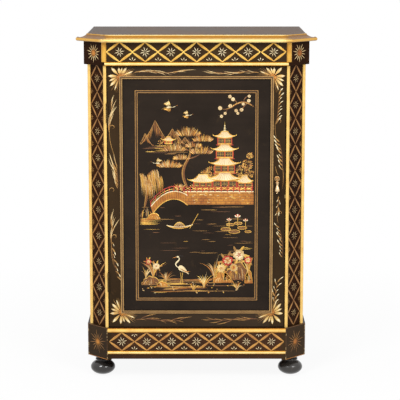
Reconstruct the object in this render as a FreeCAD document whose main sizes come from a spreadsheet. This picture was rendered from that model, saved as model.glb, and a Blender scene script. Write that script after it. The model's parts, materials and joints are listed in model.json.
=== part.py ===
"""A one-door side cabinet with canted front corners, a moulded top with ears and turned bun feet.

Millimetres. X runs along the front, Y from front to back, Z up. The origin lies on the floor, under
the middle of the cabinet. The front faces -Y and the door hangs on its left stile.
"""

import FreeCAD
import Part
import Sketcher
import math
import os
import re

doc = FreeCAD.newDocument("side_cabinet")
sheet = doc.addObject("Spreadsheet::Sheet", "sizes")

# Driving sizes; a value that starts with an equals sign follows from the others
SIZES = (
    # the case
    ("total_height", "1060"),
    ("case_width", "660"),
    ("case_depth", "372"),
    ("cant_leg", "60"),
    ("board", "20"),
    ("fit", "0.1"),
    # the top and its moulding
    ("top_thickness", "21"),
    ("lip_reach", "34"),
    ("ear_return", "6"),
    ("torus_radius", "5.5"),
    ("top_fillet", "2.5"),
    ("cove_radius", "38"),
    # the frieze
    ("frieze_height", "71"),
    ("frieze_proud", "11"),
    ("frieze_return", "14"),
    ("frieze_bead_width", "12"),
    ("corner_bead_radius", "8"),
    ("corner_bead_shift", "1.5"),
    ("corner_bead_sink", "3.5"),
    # the canted pilasters
    ("post_depth", "84"),
    ("post_side", "24"),
    ("pilaster_bead_width", "12"),
    ("pilaster_bead_margin", "1"),
    ("bead_proud", "5"),
    # the sides, the back and the inside
    ("side_thickness", "18"),
    ("back_thickness", "10"),
    ("back_lap", "9"),
    ("back_joint", "1"),
    ("shelf_thickness", "16"),
    ("shelf_setback", "12"),
    ("shelf_low", "462"),
    ("shelf_rise", "280"),
    ("batten_width", "18"),
    ("batten_height", "22"),
    # the plinth and the feet
    ("foot_height", "60"),
    ("plinth_height", "101"),
    ("plinth_proud", "8"),
    ("plinth_lift", "4"),
    ("plinth_block_depth", "92"),
    ("plinth_block_front", "8"),
    ("floor_bearing", "8"),
    ("upper_bead_width", "14"),
    ("lower_bead_width", "11"),
    ("lower_bead_rise", "19"),
    ("bun_radius", "38"),
    ("bun_height", "40"),
    ("bun_edge", "5"),
    ("bun_base_radius", "26"),
    ("neck_radius", "24"),
    ("dowel_radius", "10"),
    ("dowel_length", "25"),
    ("foot_side_inset", "38"),
    ("foot_inset", "60"),
    # the door
    ("door_gap", "2.2"),
    ("door_clearance", "3"),
    ("door_thickness", "20"),
    ("door_stop_gap", "0.5"),
    ("margin_side", "36"),
    ("margin_top", "28"),
    ("margin_bottom", "42"),
    ("door_bead_width", "9"),
    ("reed_width", "3"),
    ("reed_step", "1.2"),
    ("reed_radius", "1.6"),
    ("panel_recess", "4"),
    ("panel_thickness", "8"),
    ("groove_depth", "10"),
    ("fillet_half_width", "186"),
    ("fillet_from_bottom", "82"),
    ("fillet_from_top", "71"),
    # the butt hinges
    ("hinge_length", "60"),
    ("hinge_from_end", "110"),
    ("leaf_thickness", "1"),
    ("leaf_width", "17"),
    ("barrel_radius", "3"),
    ("barrel_forward", "3.4"),
    ("hinge_pin_radius", "1.5"),
    ("running_fit", "0.05"),
    ("knuckle_gap", "0.2"),
    # the slotted screws
    ("screw_head_radius", "2.5"),
    ("screw_shank_radius", "1.4"),
    ("screw_length", "7.5"),
    ("screw_point", "2"),
    ("screw_slot", "0.7"),
    ("screw_slot_depth", "0.5"),
    ("leaf_screw_inset", "12.75"),
    ("strike_screw_rise", "11"),
    # the drop pull
    ("pull_height", "625"),
    ("pull_from_edge", "24"),
    ("rosette_radius", "7"),
    ("rosette_thickness", "2"),
    ("pull_post_radius", "4.2"),
    ("pull_reach", "15"),
    ("pull_pivot", "11"),
    ("pull_pin_radius", "1.5"),
    ("eye_radius", "4"),
    ("eye_thickness", "3"),
    ("eye_clearance", "0.2"),
    ("drop_collar_top", "6.5"),
    ("drop_collar_radius", "6"),
    ("drop_collar_height", "6"),
    ("drop_neck_radius", "2.6"),
    ("drop_neck_depth", "15"),
    ("drop_radius", "7.5"),
    ("drop_belly_depth", "34"),
    ("drop_belly_height", "4.5"),
    ("drop_tip_radius", "4"),
    ("drop_length", "43.5"),
    # the spring catch
    ("catch_height", "569"),
    ("catch_length", "20"),
    ("catch_case_height", "22"),
    ("catch_case_thickness", "9"),
    ("catch_lip", "2"),
    ("bolt_height", "12"),
    ("bolt_thickness", "5"),
    ("bolt_tail", "4"),
    ("bolt_shoulder", "2"),
    ("bolt_reach", "3.2"),
    ("bolt_bevel", "2.7"),
    ("strike_height", "30"),
    ("strike_width", "13"),
    ("strike_clearance", "0.6"),
    # what follows from the sizes above
    ("half_width", "=case_width / 2"),
    ("foot_from_centre", "=half_width - foot_side_inset"),
    ("corner_x", "=half_width - cant_leg"),
    ("front", "=(lip_reach - case_depth) / 2"),
    ("back", "=front + case_depth"),
    ("mitre", "=sqrt(2) - 1"),
    ("top_under", "=total_height - top_thickness"),
    ("frieze_bottom", "=top_under - frieze_height"),
    ("frieze_face", "=front - frieze_proud"),
    ("frieze_corner", "=corner_x + frieze_proud * mitre"),
    ("plinth_top", "=foot_height + plinth_height"),
    ("plinth_face", "=front - plinth_proud"),
    ("plinth_corner", "=corner_x + plinth_proud * mitre"),
    ("plinth_low", "=foot_height + plinth_lift"),
    ("plinth_half", "=half_width + plinth_proud"),
    ("block_start", "=corner_x - plinth_block_front"),
    ("post_back", "=front + post_depth"),
    ("inside_half", "=half_width - side_thickness"),
    ("inside_back", "=back - back_thickness"),
    ("floor_top", "=plinth_top + side_thickness"),
    ("door_half", "=corner_x - door_gap"),
    ("door_low", "=plinth_top + door_clearance"),
    ("door_high", "=frieze_bottom - door_clearance"),
    ("door_back", "=front + door_thickness"),
    ("stile_inner", "=door_half - margin_side - door_bead_width"),
    ("panel_low", "=door_low + margin_bottom + door_bead_width"),
    ("panel_high", "=door_high - margin_top - door_bead_width"),
    ("panel_face", "=front + panel_recess"),
    ("panel_back", "=panel_face + panel_thickness"),
    ("pin_x", "=-corner_x + door_gap / 2"),
    ("pin_y", "=front - barrel_forward"),
    ("pull_x", "=door_half - pull_from_edge"),
    ("pull_y", "=front - pull_pivot"),
    ("catch_y", "=front + door_thickness / 2"),
)
for row, (size_name, size_value) in enumerate(SIZES, 1):
    sheet.set("A%d" % row, size_name)
    sheet.set("B%d" % row, size_value)
    sheet.setAlias("B%d" % row, size_name)
doc.recompute()


# Helpers that tie the pieces to the sheet


def named(text):
    """The expression with every bare size name pointed at the sheet."""
    return re.sub(r"\b(?!sqrt\b)[a-z]\w*", r"sizes.\g<0>", text)


def bind(thing, prop, text):
    """Let a property follow an expression in the size names."""
    thing.setExpression(prop, named(text))


def value(text):
    """The number that an expression in the size names stands for."""
    return float(sheet.evalExpression(named(text)))


def move(thing, x="0", y="0", z="0"):
    """Put a piece at a spot that follows the sheet."""
    for axis, text in zip("xyz", (x, y, z)):
        bind(thing, "Placement.Base." + axis, text)
    return thing


def turn(thing, axis, degrees):
    """Turn a piece about an axis through its own origin."""
    rotation = FreeCAD.Rotation(FreeCAD.Vector(*axis), degrees)
    thing.Placement = FreeCAD.Placement(thing.Placement.Base, rotation)
    return thing


def mirrored(corners):
    """The same outline on the other side of the middle plane."""
    return [("-(%s)" % corner[0],) + tuple(corner[1:]) for corner in corners]


def board(name, across, along, up):
    """A square-edged board between two X, two Y and two Z positions."""
    box = doc.addObject("Part::Box", name)
    for side, axis, (low, high) in (("Length", "x", across), ("Width", "y", along), ("Height", "z", up)):
        bind(box, side, "(%s) - (%s)" % (high, low))
        bind(box, "Placement.Base." + axis, low)
    return box


def cylinder(name, radius, height):
    """A round bar standing on the origin."""
    bar = doc.addObject("Part::Cylinder", name)
    bind(bar, "Radius", radius)
    bind(bar, "Height", height)
    return bar


def joined(name, pieces):
    """Pieces that are one solid."""
    union = doc.addObject("Part::MultiFuse", name)
    union.Shapes = pieces
    union.Refine = True
    return union


def cut(name, base, tools):
    """A piece with the tools taken out of it."""
    result = doc.addObject("Part::Cut", name)
    result.Base = base
    result.Tool = tools[0] if len(tools) == 1 else joined(name + "_cutters", tools)
    result.Refine = True
    return result


def group(name, pieces):
    """Separate pieces kept under one name."""
    several = doc.addObject("Part::Compound", name)
    several.Links = pieces
    return several


def new_body(name):
    return doc.addObject("PartDesign::Body", name)


def new_sketch(body, role):
    """An empty sketch on one of a body's own origin planes."""
    plane = [feature for feature in body.Origin.OriginFeatures if feature.Role == role][0]
    sketch = body.newObject("Sketcher::SketchObject", body.Name + "_outline")
    sketch.AttachmentSupport = [(plane, "")]
    sketch.MapMode = "FlatFace"
    return sketch


def arc_middle(start, end, radius, bulge):
    """The middle of an arc; bulge is 1 to the left of travel, -1 to the right, 2 or -2 the long way."""
    chord = end.sub(start)
    half = chord.Length / 2
    rest = math.sqrt(max(radius * radius - half * half, 0))
    rise = radius + rest if abs(bulge) == 2 else radius - rest
    side = FreeCAD.Vector(-chord.y, chord.x, 0).normalize()
    return (start + end) * 0.5 + side * math.copysign(rise, bulge)


def outline(sketch, corners, closed=True):
    """Lines and arcs through corners given as texts.

    A radius and a bulge after a corner's two places bend the edge that leaves it into an arc.
    """
    spots = [FreeCAD.Vector(value(corner[0]), value(corner[1]), 0) for corner in corners]
    ends = []
    for i, corner in enumerate(corners if closed else corners[:-1]):
        start = spots[i]
        end = spots[(i + 1) % len(spots)]
        if len(corner) == 4:
            edge = Part.Arc(start, arc_middle(start, end, value(corner[2]), corner[3]), end)
        else:
            edge = Part.LineSegment(start, end)
        number = sketch.addGeometry(edge)
        first = 1 if sketch.getPoint(number, 1).isEqual(start, 1e-6) else 2
        ends.append((number, first, 3 - first))
    pairs = list(zip(ends, ends[1:] + ends[:1]))
    for one, other in pairs if closed else pairs[:-1]:
        sketch.addConstraint(Sketcher.Constraint("Coincident", one[0], one[2], other[0], other[1]))
    for i, corner in enumerate(corners):
        number, spot = (ends[i][0], ends[i][1]) if i < len(ends) else (ends[-1][0], ends[-1][2])
        for kind, text in (("DistanceX", corner[0]), ("DistanceY", corner[1])):
            place = sketch.addConstraint(Sketcher.Constraint(kind, -1, 1, number, spot, value(text)))
            bind(sketch, "Constraints[%d]" % place, text)
        if len(corner) == 4:
            place = sketch.addConstraint(Sketcher.Constraint("Radius", number, value(corner[2])))
            bind(sketch, "Constraints[%d]" % place, corner[2])
    return sketch


def padded(name, role, corners, length, both_ways=False):
    """A body that is one outline drawn out to a length."""
    body = new_body(name)
    pad = body.newObject("PartDesign::Pad", name + "_pad")
    pad.Profile = outline(new_sketch(body, role), corners)
    pad.Midplane = both_ways
    bind(pad, "Length", length)
    body.Tip = pad
    return body


def prism(name, corners, low, high):
    """An upright body on a plan outline."""
    return move(padded(name, "XY_Plane", corners, "(%s) - (%s)" % (high, low)), z=low)


def turned(name, role, corners, axis):
    """A body turned about the sketch's own upright (V_Axis) or level (H_Axis) line."""
    body = new_body(name)
    profile = outline(new_sketch(body, role), corners)
    spin = body.newObject("PartDesign::Revolution", name + "_turning")
    spin.Profile = profile
    spin.ReferenceAxis = (profile, [axis])
    spin.Angle = 360
    body.Tip = spin
    return body


def swept(name, path_role, path_depth, path, section_role, section_depth, section, closed):
    """A moulding: one section run along a path of straight lengths with mitred corners."""
    body = new_body(name)
    spine = outline(new_sketch(body, path_role), path, closed)
    bind(spine, "AttachmentOffset.Base.z", path_depth)
    profile = outline(new_sketch(body, section_role), section)
    bind(profile, "AttachmentOffset.Base.z", section_depth)
    doc.recompute()
    pipe = body.newObject("PartDesign::AdditivePipe", name + "_run")
    pipe.Profile = profile
    pipe.Spine = (spine, ["Edge%d" % (i + 1) for i in range(len(spine.Shape.Edges))])
    pipe.Transition = "Right corner"
    body.Tip = pipe
    return body


def segment_radius(width, rise):
    """The radius of an arc that stands so far proud of a chord of this width."""
    return "((%s) * (%s) / 4 + (%s) * (%s)) / (2 * (%s))" % (width, width, rise, rise, rise)


def level_bead(name, face, low, width, half_length):
    """A half-round bead along the front, planted on an upright face."""
    section = [(face, low, segment_radius(width, "bead_proud"), 1), (face, "(%s) + (%s)" % (low, width))]
    return padded(name, "YZ_Plane", section, "2 * (%s)" % half_length, both_ways=True)


SIDES = (("left", -1), ("right", 1))
nodes = []


def keep(piece, name):
    """Hand a finished piece in under its own name."""
    piece.Label = name
    nodes.append(piece)
    return piece


def on_side(sign, corners):
    """An outline drawn for the right, or its mirror for the left."""
    return corners if sign > 0 else mirrored(corners)


# The top: a canted board, and a cove and torus moulding that runs round it and ends in two ears

top_corners = [
    ("half_width", "back"),
    ("half_width", "front + cant_leg"),
    ("corner_x", "front"),
]
top_outline = top_corners + mirrored(top_corners)[::-1]
keep(prism("top_board_body", top_outline, "top_under", "total_height"), "top_board")

moulding_path = [
    ("-half_width", "front + cant_leg + ear_return"),
    ("-half_width", "front + cant_leg"),
    ("-corner_x", "front"),
]
moulding_section = [
    ("-half_width", "top_under"),
    ("-half_width - lip_reach + torus_radius", "top_under", "torus_radius", 2),
    (
        "-half_width - lip_reach + torus_radius * (1 + sqrt(2) / 2)",
        "top_under + torus_radius * (1 + sqrt(2) / 2)",
        "cove_radius",
        -1,
    ),
    ("-half_width - top_fillet", "total_height - top_fillet"),
    ("-half_width - top_fillet", "total_height"),
    ("-half_width", "total_height"),
]
keep(
    swept(
        "top_moulding_body",
        "XY_Plane",
        "top_under",
        moulding_path + mirrored(moulding_path)[::-1],
        "XZ_Plane",
        "-(front + cant_leg + ear_return)",
        moulding_section,
        closed=False,
    ),
    "top_moulding",
)

# The frieze: a front board, canted corner blocks, a round at each front corner and a bead below

frieze_front = keep(
    board(
        "frieze_front_board",
        ("-corner_x", "corner_x"),
        ("frieze_face", "frieze_face + board"),
        ("frieze_bottom", "top_under"),
    ),
    "frieze_front",
)
frieze_block_corners = [
    ("corner_x", "front"),
    ("corner_x", "frieze_face"),
    ("frieze_corner", "frieze_face"),
    ("half_width + frieze_proud", "front + cant_leg - frieze_proud * mitre"),
    ("half_width + frieze_proud", "front + cant_leg + frieze_return"),
    ("half_width", "front + cant_leg + frieze_return"),
    ("half_width", "front + cant_leg"),
]
for side, sign in SIDES:
    name = "frieze_block_" + side
    block = prism(name + "_body", on_side(sign, frieze_block_corners), "frieze_bottom", "top_under")
    keep(block, name)
    name = "frieze_corner_bead_" + side
    rod = cylinder(name + "_rod", "corner_bead_radius", "frieze_height - frieze_bead_width")
    move(
        rod,
        "%d * (frieze_corner + corner_bead_shift)" % sign,
        "frieze_face + corner_bead_sink",
        "frieze_bottom + frieze_bead_width",
    )
    keep(cut(name + "_cut", rod, [frieze_front, block]), name)
keep(
    level_bead("frieze_bead_body", "frieze_face", "frieze_bottom", "frieze_bead_width", "frieze_corner"),
    "frieze_bead",
)

# The pilasters: canted posts, each with a half-round bead along both edges of the cant

post_corners = [
    ("corner_x", "front"),
    ("half_width", "front + cant_leg"),
    ("half_width", "post_back"),
    ("half_width - post_side", "post_back"),
    ("corner_x", "post_back - cant_leg + post_side"),
]
posts = {
    side: prism("post_%s_body" % side, on_side(sign, post_corners), "plinth_top", "top_under")
    for side, sign in SIDES
}
bead_along = "(pilaster_bead_margin + pilaster_bead_width / 2) / sqrt(2)"
bead_section = [
    ("-pilaster_bead_width / 2", "0", segment_radius("pilaster_bead_width", "bead_proud"), -1),
    ("pilaster_bead_width / 2", "0"),
]
for side, sign in SIDES:
    pair = []
    for edge, x, y in (
        ("inner", "corner_x + " + bead_along, "front + " + bead_along),
        ("outer", "half_width - " + bead_along, "front + cant_leg - " + bead_along),
    ):
        bead = padded("bead_%s_%s" % (side, edge), "XY_Plane", bead_section, "frieze_bottom - plinth_top")
        turn(bead, (0, 0, 1), 45 * sign)
        pair.append(move(bead, "%d * (%s)" % (sign, x), y, "plinth_top"))
    keep(group("pilaster_beads_%s_pair" % side, pair), "pilaster_beads_" + side)

# The sides, the back, the floor of the case, and two shelves on battens

for side, sign in SIDES:
    name = "side_panel_" + side
    inner, outer = "%d * inside_half" % sign, "%d * half_width" % sign
    lap = "%d * (half_width - back_lap)" % sign
    across = (inner, outer) if sign > 0 else (outer, inner)
    rebate_across = (inner, lap) if sign > 0 else (lap, inner)
    up = ("plinth_top", "top_under")
    panel = board(name + "_board", across, ("post_back", "back"), up)
    rebate = board(name + "_rebate", rebate_across, ("inside_back", "back"), up)
    keep(cut(name + "_cut", panel, [rebate]), name)

BACK_BOARDS = 3
plank = "(2 * (half_width - back_lap) / %d)" % BACK_BOARDS
keep(
    group(
        "back_boards_set",
        [
            board(
                "back_board_%d" % i,
                (
                    "back_lap - half_width + %d * %s + back_joint / 2" % (i, plank),
                    "back_lap - half_width + %d * %s - back_joint / 2" % (i + 1, plank),
                ),
                ("inside_back", "back"),
                ("plinth_top", "top_under"),
            )
            for i in range(BACK_BOARDS)
        ],
    ),
    "back_boards",
)

floor_corners = [
    ("corner_x", "door_back + door_stop_gap"),
    ("corner_x", "post_back - cant_leg + post_side"),
    ("half_width - post_side", "post_back"),
    ("inside_half", "post_back"),
    ("inside_half", "inside_back"),
]
keep(
    prism("bottom_board_body", floor_corners + mirrored(floor_corners)[::-1], "plinth_top", "floor_top"),
    "bottom_board",
)

battens = []
for level, step in (("lower", 0), ("upper", 1)):
    name = "shelf_" + level
    under = "shelf_low + %d * shelf_rise" % step
    deep = ("post_back + shelf_setback", "inside_back")
    up = (under, under + " + shelf_thickness")
    keep(board(name + "_board", ("-inside_half", "inside_half"), deep, up), name)
    for side, sign in SIDES:
        across = ["%d * inside_half" % sign, "%d * (inside_half - batten_width)" % sign]
        battens.append(
            board("batten_%s_%s" % (level, side), across[::-sign], deep, (under + " - batten_height", under))
        )
keep(group("shelf_battens_set", battens), "shelf_battens")

# The plinth: front board, canted corner blocks, sides, back and rear blocks, with two beads in front.
# The front board is thick enough to reach under the front edge of the bottom board and carry it

keep(
    board(
        "plinth_front_board",
        ("-block_start", "block_start"),
        ("plinth_face", "door_back + door_stop_gap + floor_bearing"),
        ("plinth_low", "plinth_top"),
    ),
    "plinth_front",
)
front_foot_y = "plinth_face + foot_inset"
rear_foot_y = "back - foot_inset"
plinth_block_corners = [
    ("block_start", "plinth_face"),
    ("plinth_corner", "plinth_face"),
    ("plinth_half", "front + cant_leg - plinth_proud * mitre"),
    ("plinth_half", "plinth_face + plinth_block_depth"),
    ("block_start", "plinth_face + plinth_block_depth"),
]


def dowel_hole(name, sign, y):
    """The socket for a foot's dowel."""
    hole = cylinder(name, "dowel_radius + fit", "dowel_length + fit")
    return move(hole, "%d * foot_from_centre" % sign, y, "foot_height")


for side, sign in SIDES:
    name = "plinth_block_" + side
    block = prism(name + "_body", on_side(sign, plinth_block_corners), "foot_height", "plinth_top")
    keep(cut(name + "_cut", block, [dowel_hole(name + "_hole", sign, front_foot_y)]), name)
    name = "plinth_rear_block_" + side
    across = ["%d * block_start" % sign, "%d * (plinth_half - board)" % sign]
    block = board(
        name + "_board",
        across[::sign],
        ("back - board - plinth_block_depth", "back - board"),
        ("foot_height", "plinth_top"),
    )
    keep(cut(name + "_cut", block, [dowel_hole(name + "_hole", sign, rear_foot_y)]), name)
    across = ["%d * (plinth_half - board)" % sign, "%d * plinth_half" % sign]
    keep(
        board(
            "plinth_side_%s_board" % side,
            across[::sign],
            ("plinth_face + plinth_block_depth", "back"),
            ("plinth_low", "plinth_top"),
        ),
        "plinth_side_" + side,
    )
keep(
    board(
        "plinth_back_board",
        ("board - plinth_half", "plinth_half - board"),
        ("back - board", "back"),
        ("plinth_low", "plinth_top"),
    ),
    "plinth_back",
)
for level, low in (("upper", "plinth_top - upper_bead_width"), ("lower", "foot_height + lower_bead_rise")):
    name = "plinth_%s_bead" % level
    keep(level_bead(name + "_body", "plinth_face", low, level + "_bead_width", "plinth_corner"), name)

# The feet: a bun cut from a ball with eased edges, and a neck, turned in one with a dowel

half_zone = "(bun_height / 2 - bun_edge)"
zone_radius = "sqrt(bun_radius * bun_radius - %s * %s)" % (half_zone, half_zone)
foot_section = [
    ("0", "0"),
    ("bun_base_radius", "0"),
    (zone_radius, "bun_edge", "bun_radius", -1),
    (zone_radius, "bun_height - bun_edge"),
    ("neck_radius", "bun_height"),
    ("neck_radius", "foot_height"),
    ("dowel_radius", "foot_height"),
    ("dowel_radius", "foot_height + dowel_length"),
    ("0", "foot_height + dowel_length"),
]
feet = []
for side, sign in SIDES:
    for end, y in (("front", front_foot_y), ("rear", rear_foot_y)):
        foot = turned("foot_%s_%s" % (end, side), "XZ_Plane", foot_section, "V_Axis")
        feet.append(move(foot, "%d * foot_from_centre" % sign, y))
keep(group("feet_set", feet), "feet")

# The screws: countersunk and slotted, with a head as thick as the plate that it holds

screw_section = [
    ("0", "0"),
    ("0", "-screw_length"),
    ("screw_shank_radius", "screw_point - screw_length"),
    ("screw_shank_radius", "-leaf_thickness"),
    ("screw_head_radius", "0"),
]


def around(middle, half):
    """The two positions on either side of a middle."""
    return ("%s - (%s)" % (middle, half), "%s + (%s)" % (middle, half))


def screw(name, facing, x, y, z):
    """A plain screw, which also cuts its own hole, and the same with a slot in its head.

    Facing is 1 for a head that looks along X and -1 for one that looks the other way.
    """
    plain = turn(turned(name + "_body", "XZ_Plane", screw_section, "V_Axis"), (0, 1, 0), 90 * facing)
    move(plain, x, y, z)
    across = ["%s - (%d) * screw_slot_depth" % (x, facing), x]
    along, up = around(y, "screw_slot / 2"), around(z, "screw_head_radius")
    slot = board(name + "_slot", across[::facing], along, up)
    return plain, cut(name + "_cut", plain, [slot])


# The hinges: two brass butts in the gap beside the hinge stile

hinge_lows = ("door_low + hinge_from_end", "door_high - hinge_from_end - hinge_length")
knuckle = "(hinge_length / 3)"
leaf_along = ("pin_y + barrel_forward", "pin_y + barrel_forward + leaf_width")
case_leaf_across = ("-corner_x", "leaf_thickness - corner_x")
door_leaf_across = ("-door_half - leaf_thickness", "-door_half")
case_spans = [("0", knuckle), (knuckle + " * 2", "hinge_length")]
door_spans = [(knuckle + " + knuckle_gap", knuckle + " * 2 - knuckle_gap")]


def leaf_screws(name, facing, x, low):
    """Three screws up a leaf."""
    ups = ["%s + hinge_length * %d / 6" % (low, share) for share in (1, 3, 5)]
    y = leaf_along[0] + " + leaf_screw_inset"
    return [screw("%s_screw_%d" % (name, i), facing, x, y, up) for i, up in enumerate(ups)]


def leaf(name, across, low, spans, cutters):
    """A hinge leaf: a plate with a tab and a bored barrel over each span of its height."""
    pieces = [board(name + "_plate", across, leaf_along, (low, low + " + hinge_length"))]
    for i, (start, stop) in enumerate(spans):
        up = ("%s + %s" % (low, start), "%s + %s" % (low, stop))
        pieces.append(board("%s_tab_%d" % (name, i), across, ("pin_y", leaf_along[0]), up))
        barrel = cylinder("%s_barrel_%d" % (name, i), "barrel_radius", "(%s) - (%s)" % (stop, start))
        pieces.append(move(barrel, "pin_x", "pin_y", up[0]))
    return cut(name + "_cut", joined(name + "_solid", pieces), cutters)


case_leaves, door_leaves, pins, case_screws, door_screws = [], [], [], [], []
for i, low in enumerate(hinge_lows):
    bore = cylinder("hinge_bore_%d" % i, "hinge_pin_radius + running_fit", "hinge_length")
    move(bore, "pin_x", "pin_y", low)
    for name, facing, face, across, spans, leaves, screws in (
        ("case_leaf_%d" % i, 1, case_leaf_across[1], case_leaf_across, case_spans, case_leaves, case_screws),
        ("door_leaf_%d" % i, -1, door_leaf_across[0], door_leaf_across, door_spans, door_leaves, door_screws),
    ):
        set_in = leaf_screws(name, facing, face, low)
        leaves.append(leaf(name, across, low, spans, [bore] + [plain for plain, slotted in set_in]))
        screws.extend(set_in)
    pin = cylinder("hinge_pin_%d" % i, "hinge_pin_radius", "hinge_length")
    pins.append(move(pin, "pin_x", "pin_y", low))
keep(group("hinge_leaves_case_pair", case_leaves), "hinge_leaves_case")
keep(group("hinge_leaves_door_pair", door_leaves), "hinge_leaves_door")
keep(group("hinge_pins_pair", pins), "hinge_pins")
keep(group("case_screws_set", [slotted for plain, slotted in case_screws]), "hinge_screws_case")
keep(group("door_screws_set", [slotted for plain, slotted in door_screws]), "hinge_screws_door")

# The spring catch: a case in the edge of the right stile, a bolt with a bevelled nose, a strike plate


def catch_block(name, across, half_thickness, half_height):
    """A block about the line of the catch, with its X positions counted from the edge of the door."""
    across = tuple("door_half + " + x for x in across)
    return board(name, across, around("catch_y", half_thickness), around("catch_height", half_height))


def catch_case_block(name):
    """The outside of the case, which also cuts its pocket in the stile."""
    return catch_block(name, ("-catch_length", "0"), "catch_case_thickness / 2", "catch_case_height / 2")


def strike_block(name):
    """The outside of the strike plate, which also cuts its pocket in the post."""
    across = ("door_gap", "door_gap + leaf_thickness")
    return catch_block(name, across, "strike_width / 2", "strike_height / 2")


def strike_hole(name):
    """The hole that the bolt springs into."""
    half_thickness = "bolt_thickness / 2 + strike_clearance"
    half_height = "bolt_height / 2 + strike_clearance"
    return catch_block(name, ("door_gap", "door_gap + bolt_reach"), half_thickness, half_height)


slide = "bolt_thickness / 2 + fit"
tail_half = "bolt_height / 2 + bolt_shoulder"
cavity = catch_block("catch_cavity", ("catch_lip - catch_length", "-catch_lip"), slide, tail_half + " + fit")
mouth = catch_block("catch_mouth", ("-catch_lip", "0"), slide, "bolt_height / 2 + fit")
keep(cut("catch_case_cut", catch_case_block("catch_case_block"), [cavity, mouth]), "catch_case")

tail_across = ("-catch_lip - fit - bolt_tail", "-catch_lip - fit")
tail = catch_block("bolt_tail_block", tail_across, "bolt_thickness / 2", tail_half)
nose_plan = [
    ("door_half - catch_lip - bolt_tail", "catch_y - bolt_thickness / 2"),
    ("door_half + bolt_reach", "catch_y - bolt_thickness / 2"),
    ("door_half + bolt_reach - bolt_bevel", "catch_y + bolt_thickness / 2"),
    ("door_half - catch_lip - bolt_tail", "catch_y + bolt_thickness / 2"),
]
nose = prism("bolt_nose", nose_plan, "catch_height - bolt_height / 2", "catch_height + bolt_height / 2")
keep(joined("catch_bolt_solid", [tail, nose]), "catch_bolt")

strike_ups = around("catch_height", "strike_screw_rise")
strike_screws = [
    screw("strike_screw_%d" % i, -1, "door_half + door_gap", "catch_y", up) for i, up in enumerate(strike_ups)
]
strike_bores = [plain for plain, slotted in strike_screws]
strike_cutters = [strike_hole("strike_hole")] + strike_bores
keep(cut("strike_plate_cut", strike_block("strike_plate_block"), strike_cutters), "strike_plate")
keep(group("strike_screws_pair", [slotted for plain, slotted in strike_screws]), "strike_screws")
case_bores = [plain for plain, slotted in case_screws]
keep(cut("pilaster_left_cut", posts["left"], case_bores), "corner_pilaster_left")
post_cutters = [strike_block("strike_pocket"), strike_hole("post_hole")] + strike_bores
keep(cut("pilaster_right_cut", posts["right"], post_cutters), "corner_pilaster_right")

# The door: grooved stiles and rails round a panel, with a reeded gilt fillet round both fields

door_along = ("front", "door_back")
groove_along = ("panel_face - fit", "panel_back + fit")
tongue_along = ("panel_face", "panel_back")
door_bores = [plain for plain, slotted in door_screws]
stile_cutters = {"left": door_bores, "right": [catch_case_block("catch_pocket")]}
for side, sign in SIDES:
    name = "door_stile_" + side
    across = ["%d * stile_inner" % sign, "%d * door_half" % sign]
    stile = board(name + "_board", across[::sign], door_along, ("door_low", "door_high"))
    across = ["%d * stile_inner" % sign, "%d * (stile_inner + groove_depth)" % sign]
    groove = board(name + "_groove", across[::sign], groove_along, ("door_low", "door_high"))
    keep(cut(name + "_cut", stile, [groove] + stile_cutters[side]), name)

tongue_reach = "(stile_inner + groove_depth - fit)"
for end, up, groove_up in (
    ("bottom", ("door_low", "panel_low"), ("panel_low - groove_depth", "panel_low")),
    ("top", ("panel_high", "door_high"), ("panel_high", "panel_high + groove_depth")),
):
    name = "door_rail_" + end
    rail = board(name + "_board", ("-stile_inner", "stile_inner"), door_along, up)
    tenons = board(name + "_tenons", ("-" + tongue_reach, tongue_reach), tongue_along, up)
    groove = board(name + "_groove", ("-" + tongue_reach, tongue_reach), groove_along, groove_up)
    keep(cut(name + "_cut", joined(name + "_solid", [rail, tenons]), [groove]), name)
keep(
    board(
        "door_panel_board",
        ("-" + tongue_reach, tongue_reach),
        tongue_along,
        ("panel_low - groove_depth + fit", "panel_high + groove_depth - fit"),
    ),
    "door_panel",
)


def reeded_frame(name, face, half, low, high):
    """A fillet of two reeds with a flat between them, mitred round an upright rectangle."""
    path = [("0", low), (half, low), (half, high), ("-(%s)" % half, high), ("-(%s)" % half, low)]
    crest = "(%s) - reed_step" % face
    section = [
        (face, low),
        (crest, low, "reed_radius", 1),
        (crest, low + " + reed_width"),
        (crest, low + " + door_bead_width - reed_width", "reed_radius", 1),
        (crest, low + " + door_bead_width"),
        (face, low + " + door_bead_width"),
    ]
    return swept(name + "_body", "XZ_Plane", "-(%s)" % face, path, "YZ_Plane", "0", section, closed=True)


keep(
    reeded_frame(
        "door_fillet",
        "front",
        "stile_inner + door_bead_width",
        "panel_low - door_bead_width",
        "panel_high + door_bead_width",
    ),
    "door_fillet",
)
keep(
    reeded_frame(
        "panel_fillet",
        "panel_face",
        "fillet_half_width",
        "door_low + fillet_from_bottom",
        "door_high - fillet_from_top",
    ),
    "panel_fillet",
)

# The drop pull: a rosette with a forked post, a cross pin and a pear drop that swings on it

rosette_section = [
    ("0", "0"),
    ("0", "-pull_reach"),
    ("pull_post_radius", "-pull_reach"),
    ("pull_post_radius", "-rosette_thickness"),
    ("rosette_radius", "-rosette_thickness"),
    ("rosette_radius", "0"),
]
rosette = turned("rosette_body", "XY_Plane", rosette_section, "V_Axis")
move(rosette, "pull_x", "front", "pull_height")
slot_half = "(eye_thickness / 2 + eye_clearance)"
fork_slot = board(
    "fork_slot",
    ("pull_x - " + slot_half, "pull_x + " + slot_half),
    ("front - pull_reach", "pull_y + eye_radius + eye_clearance"),
    ("pull_height - rosette_radius", "pull_height + rosette_radius"),
)


def pull_bar(name, radius, half_length):
    """A bar across the fork on the pivot line."""
    bar = turn(cylinder(name, radius, "2 * (%s)" % half_length), (0, 1, 0), 90)
    return move(bar, "pull_x - (%s)" % half_length, "pull_y", "pull_height")


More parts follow.
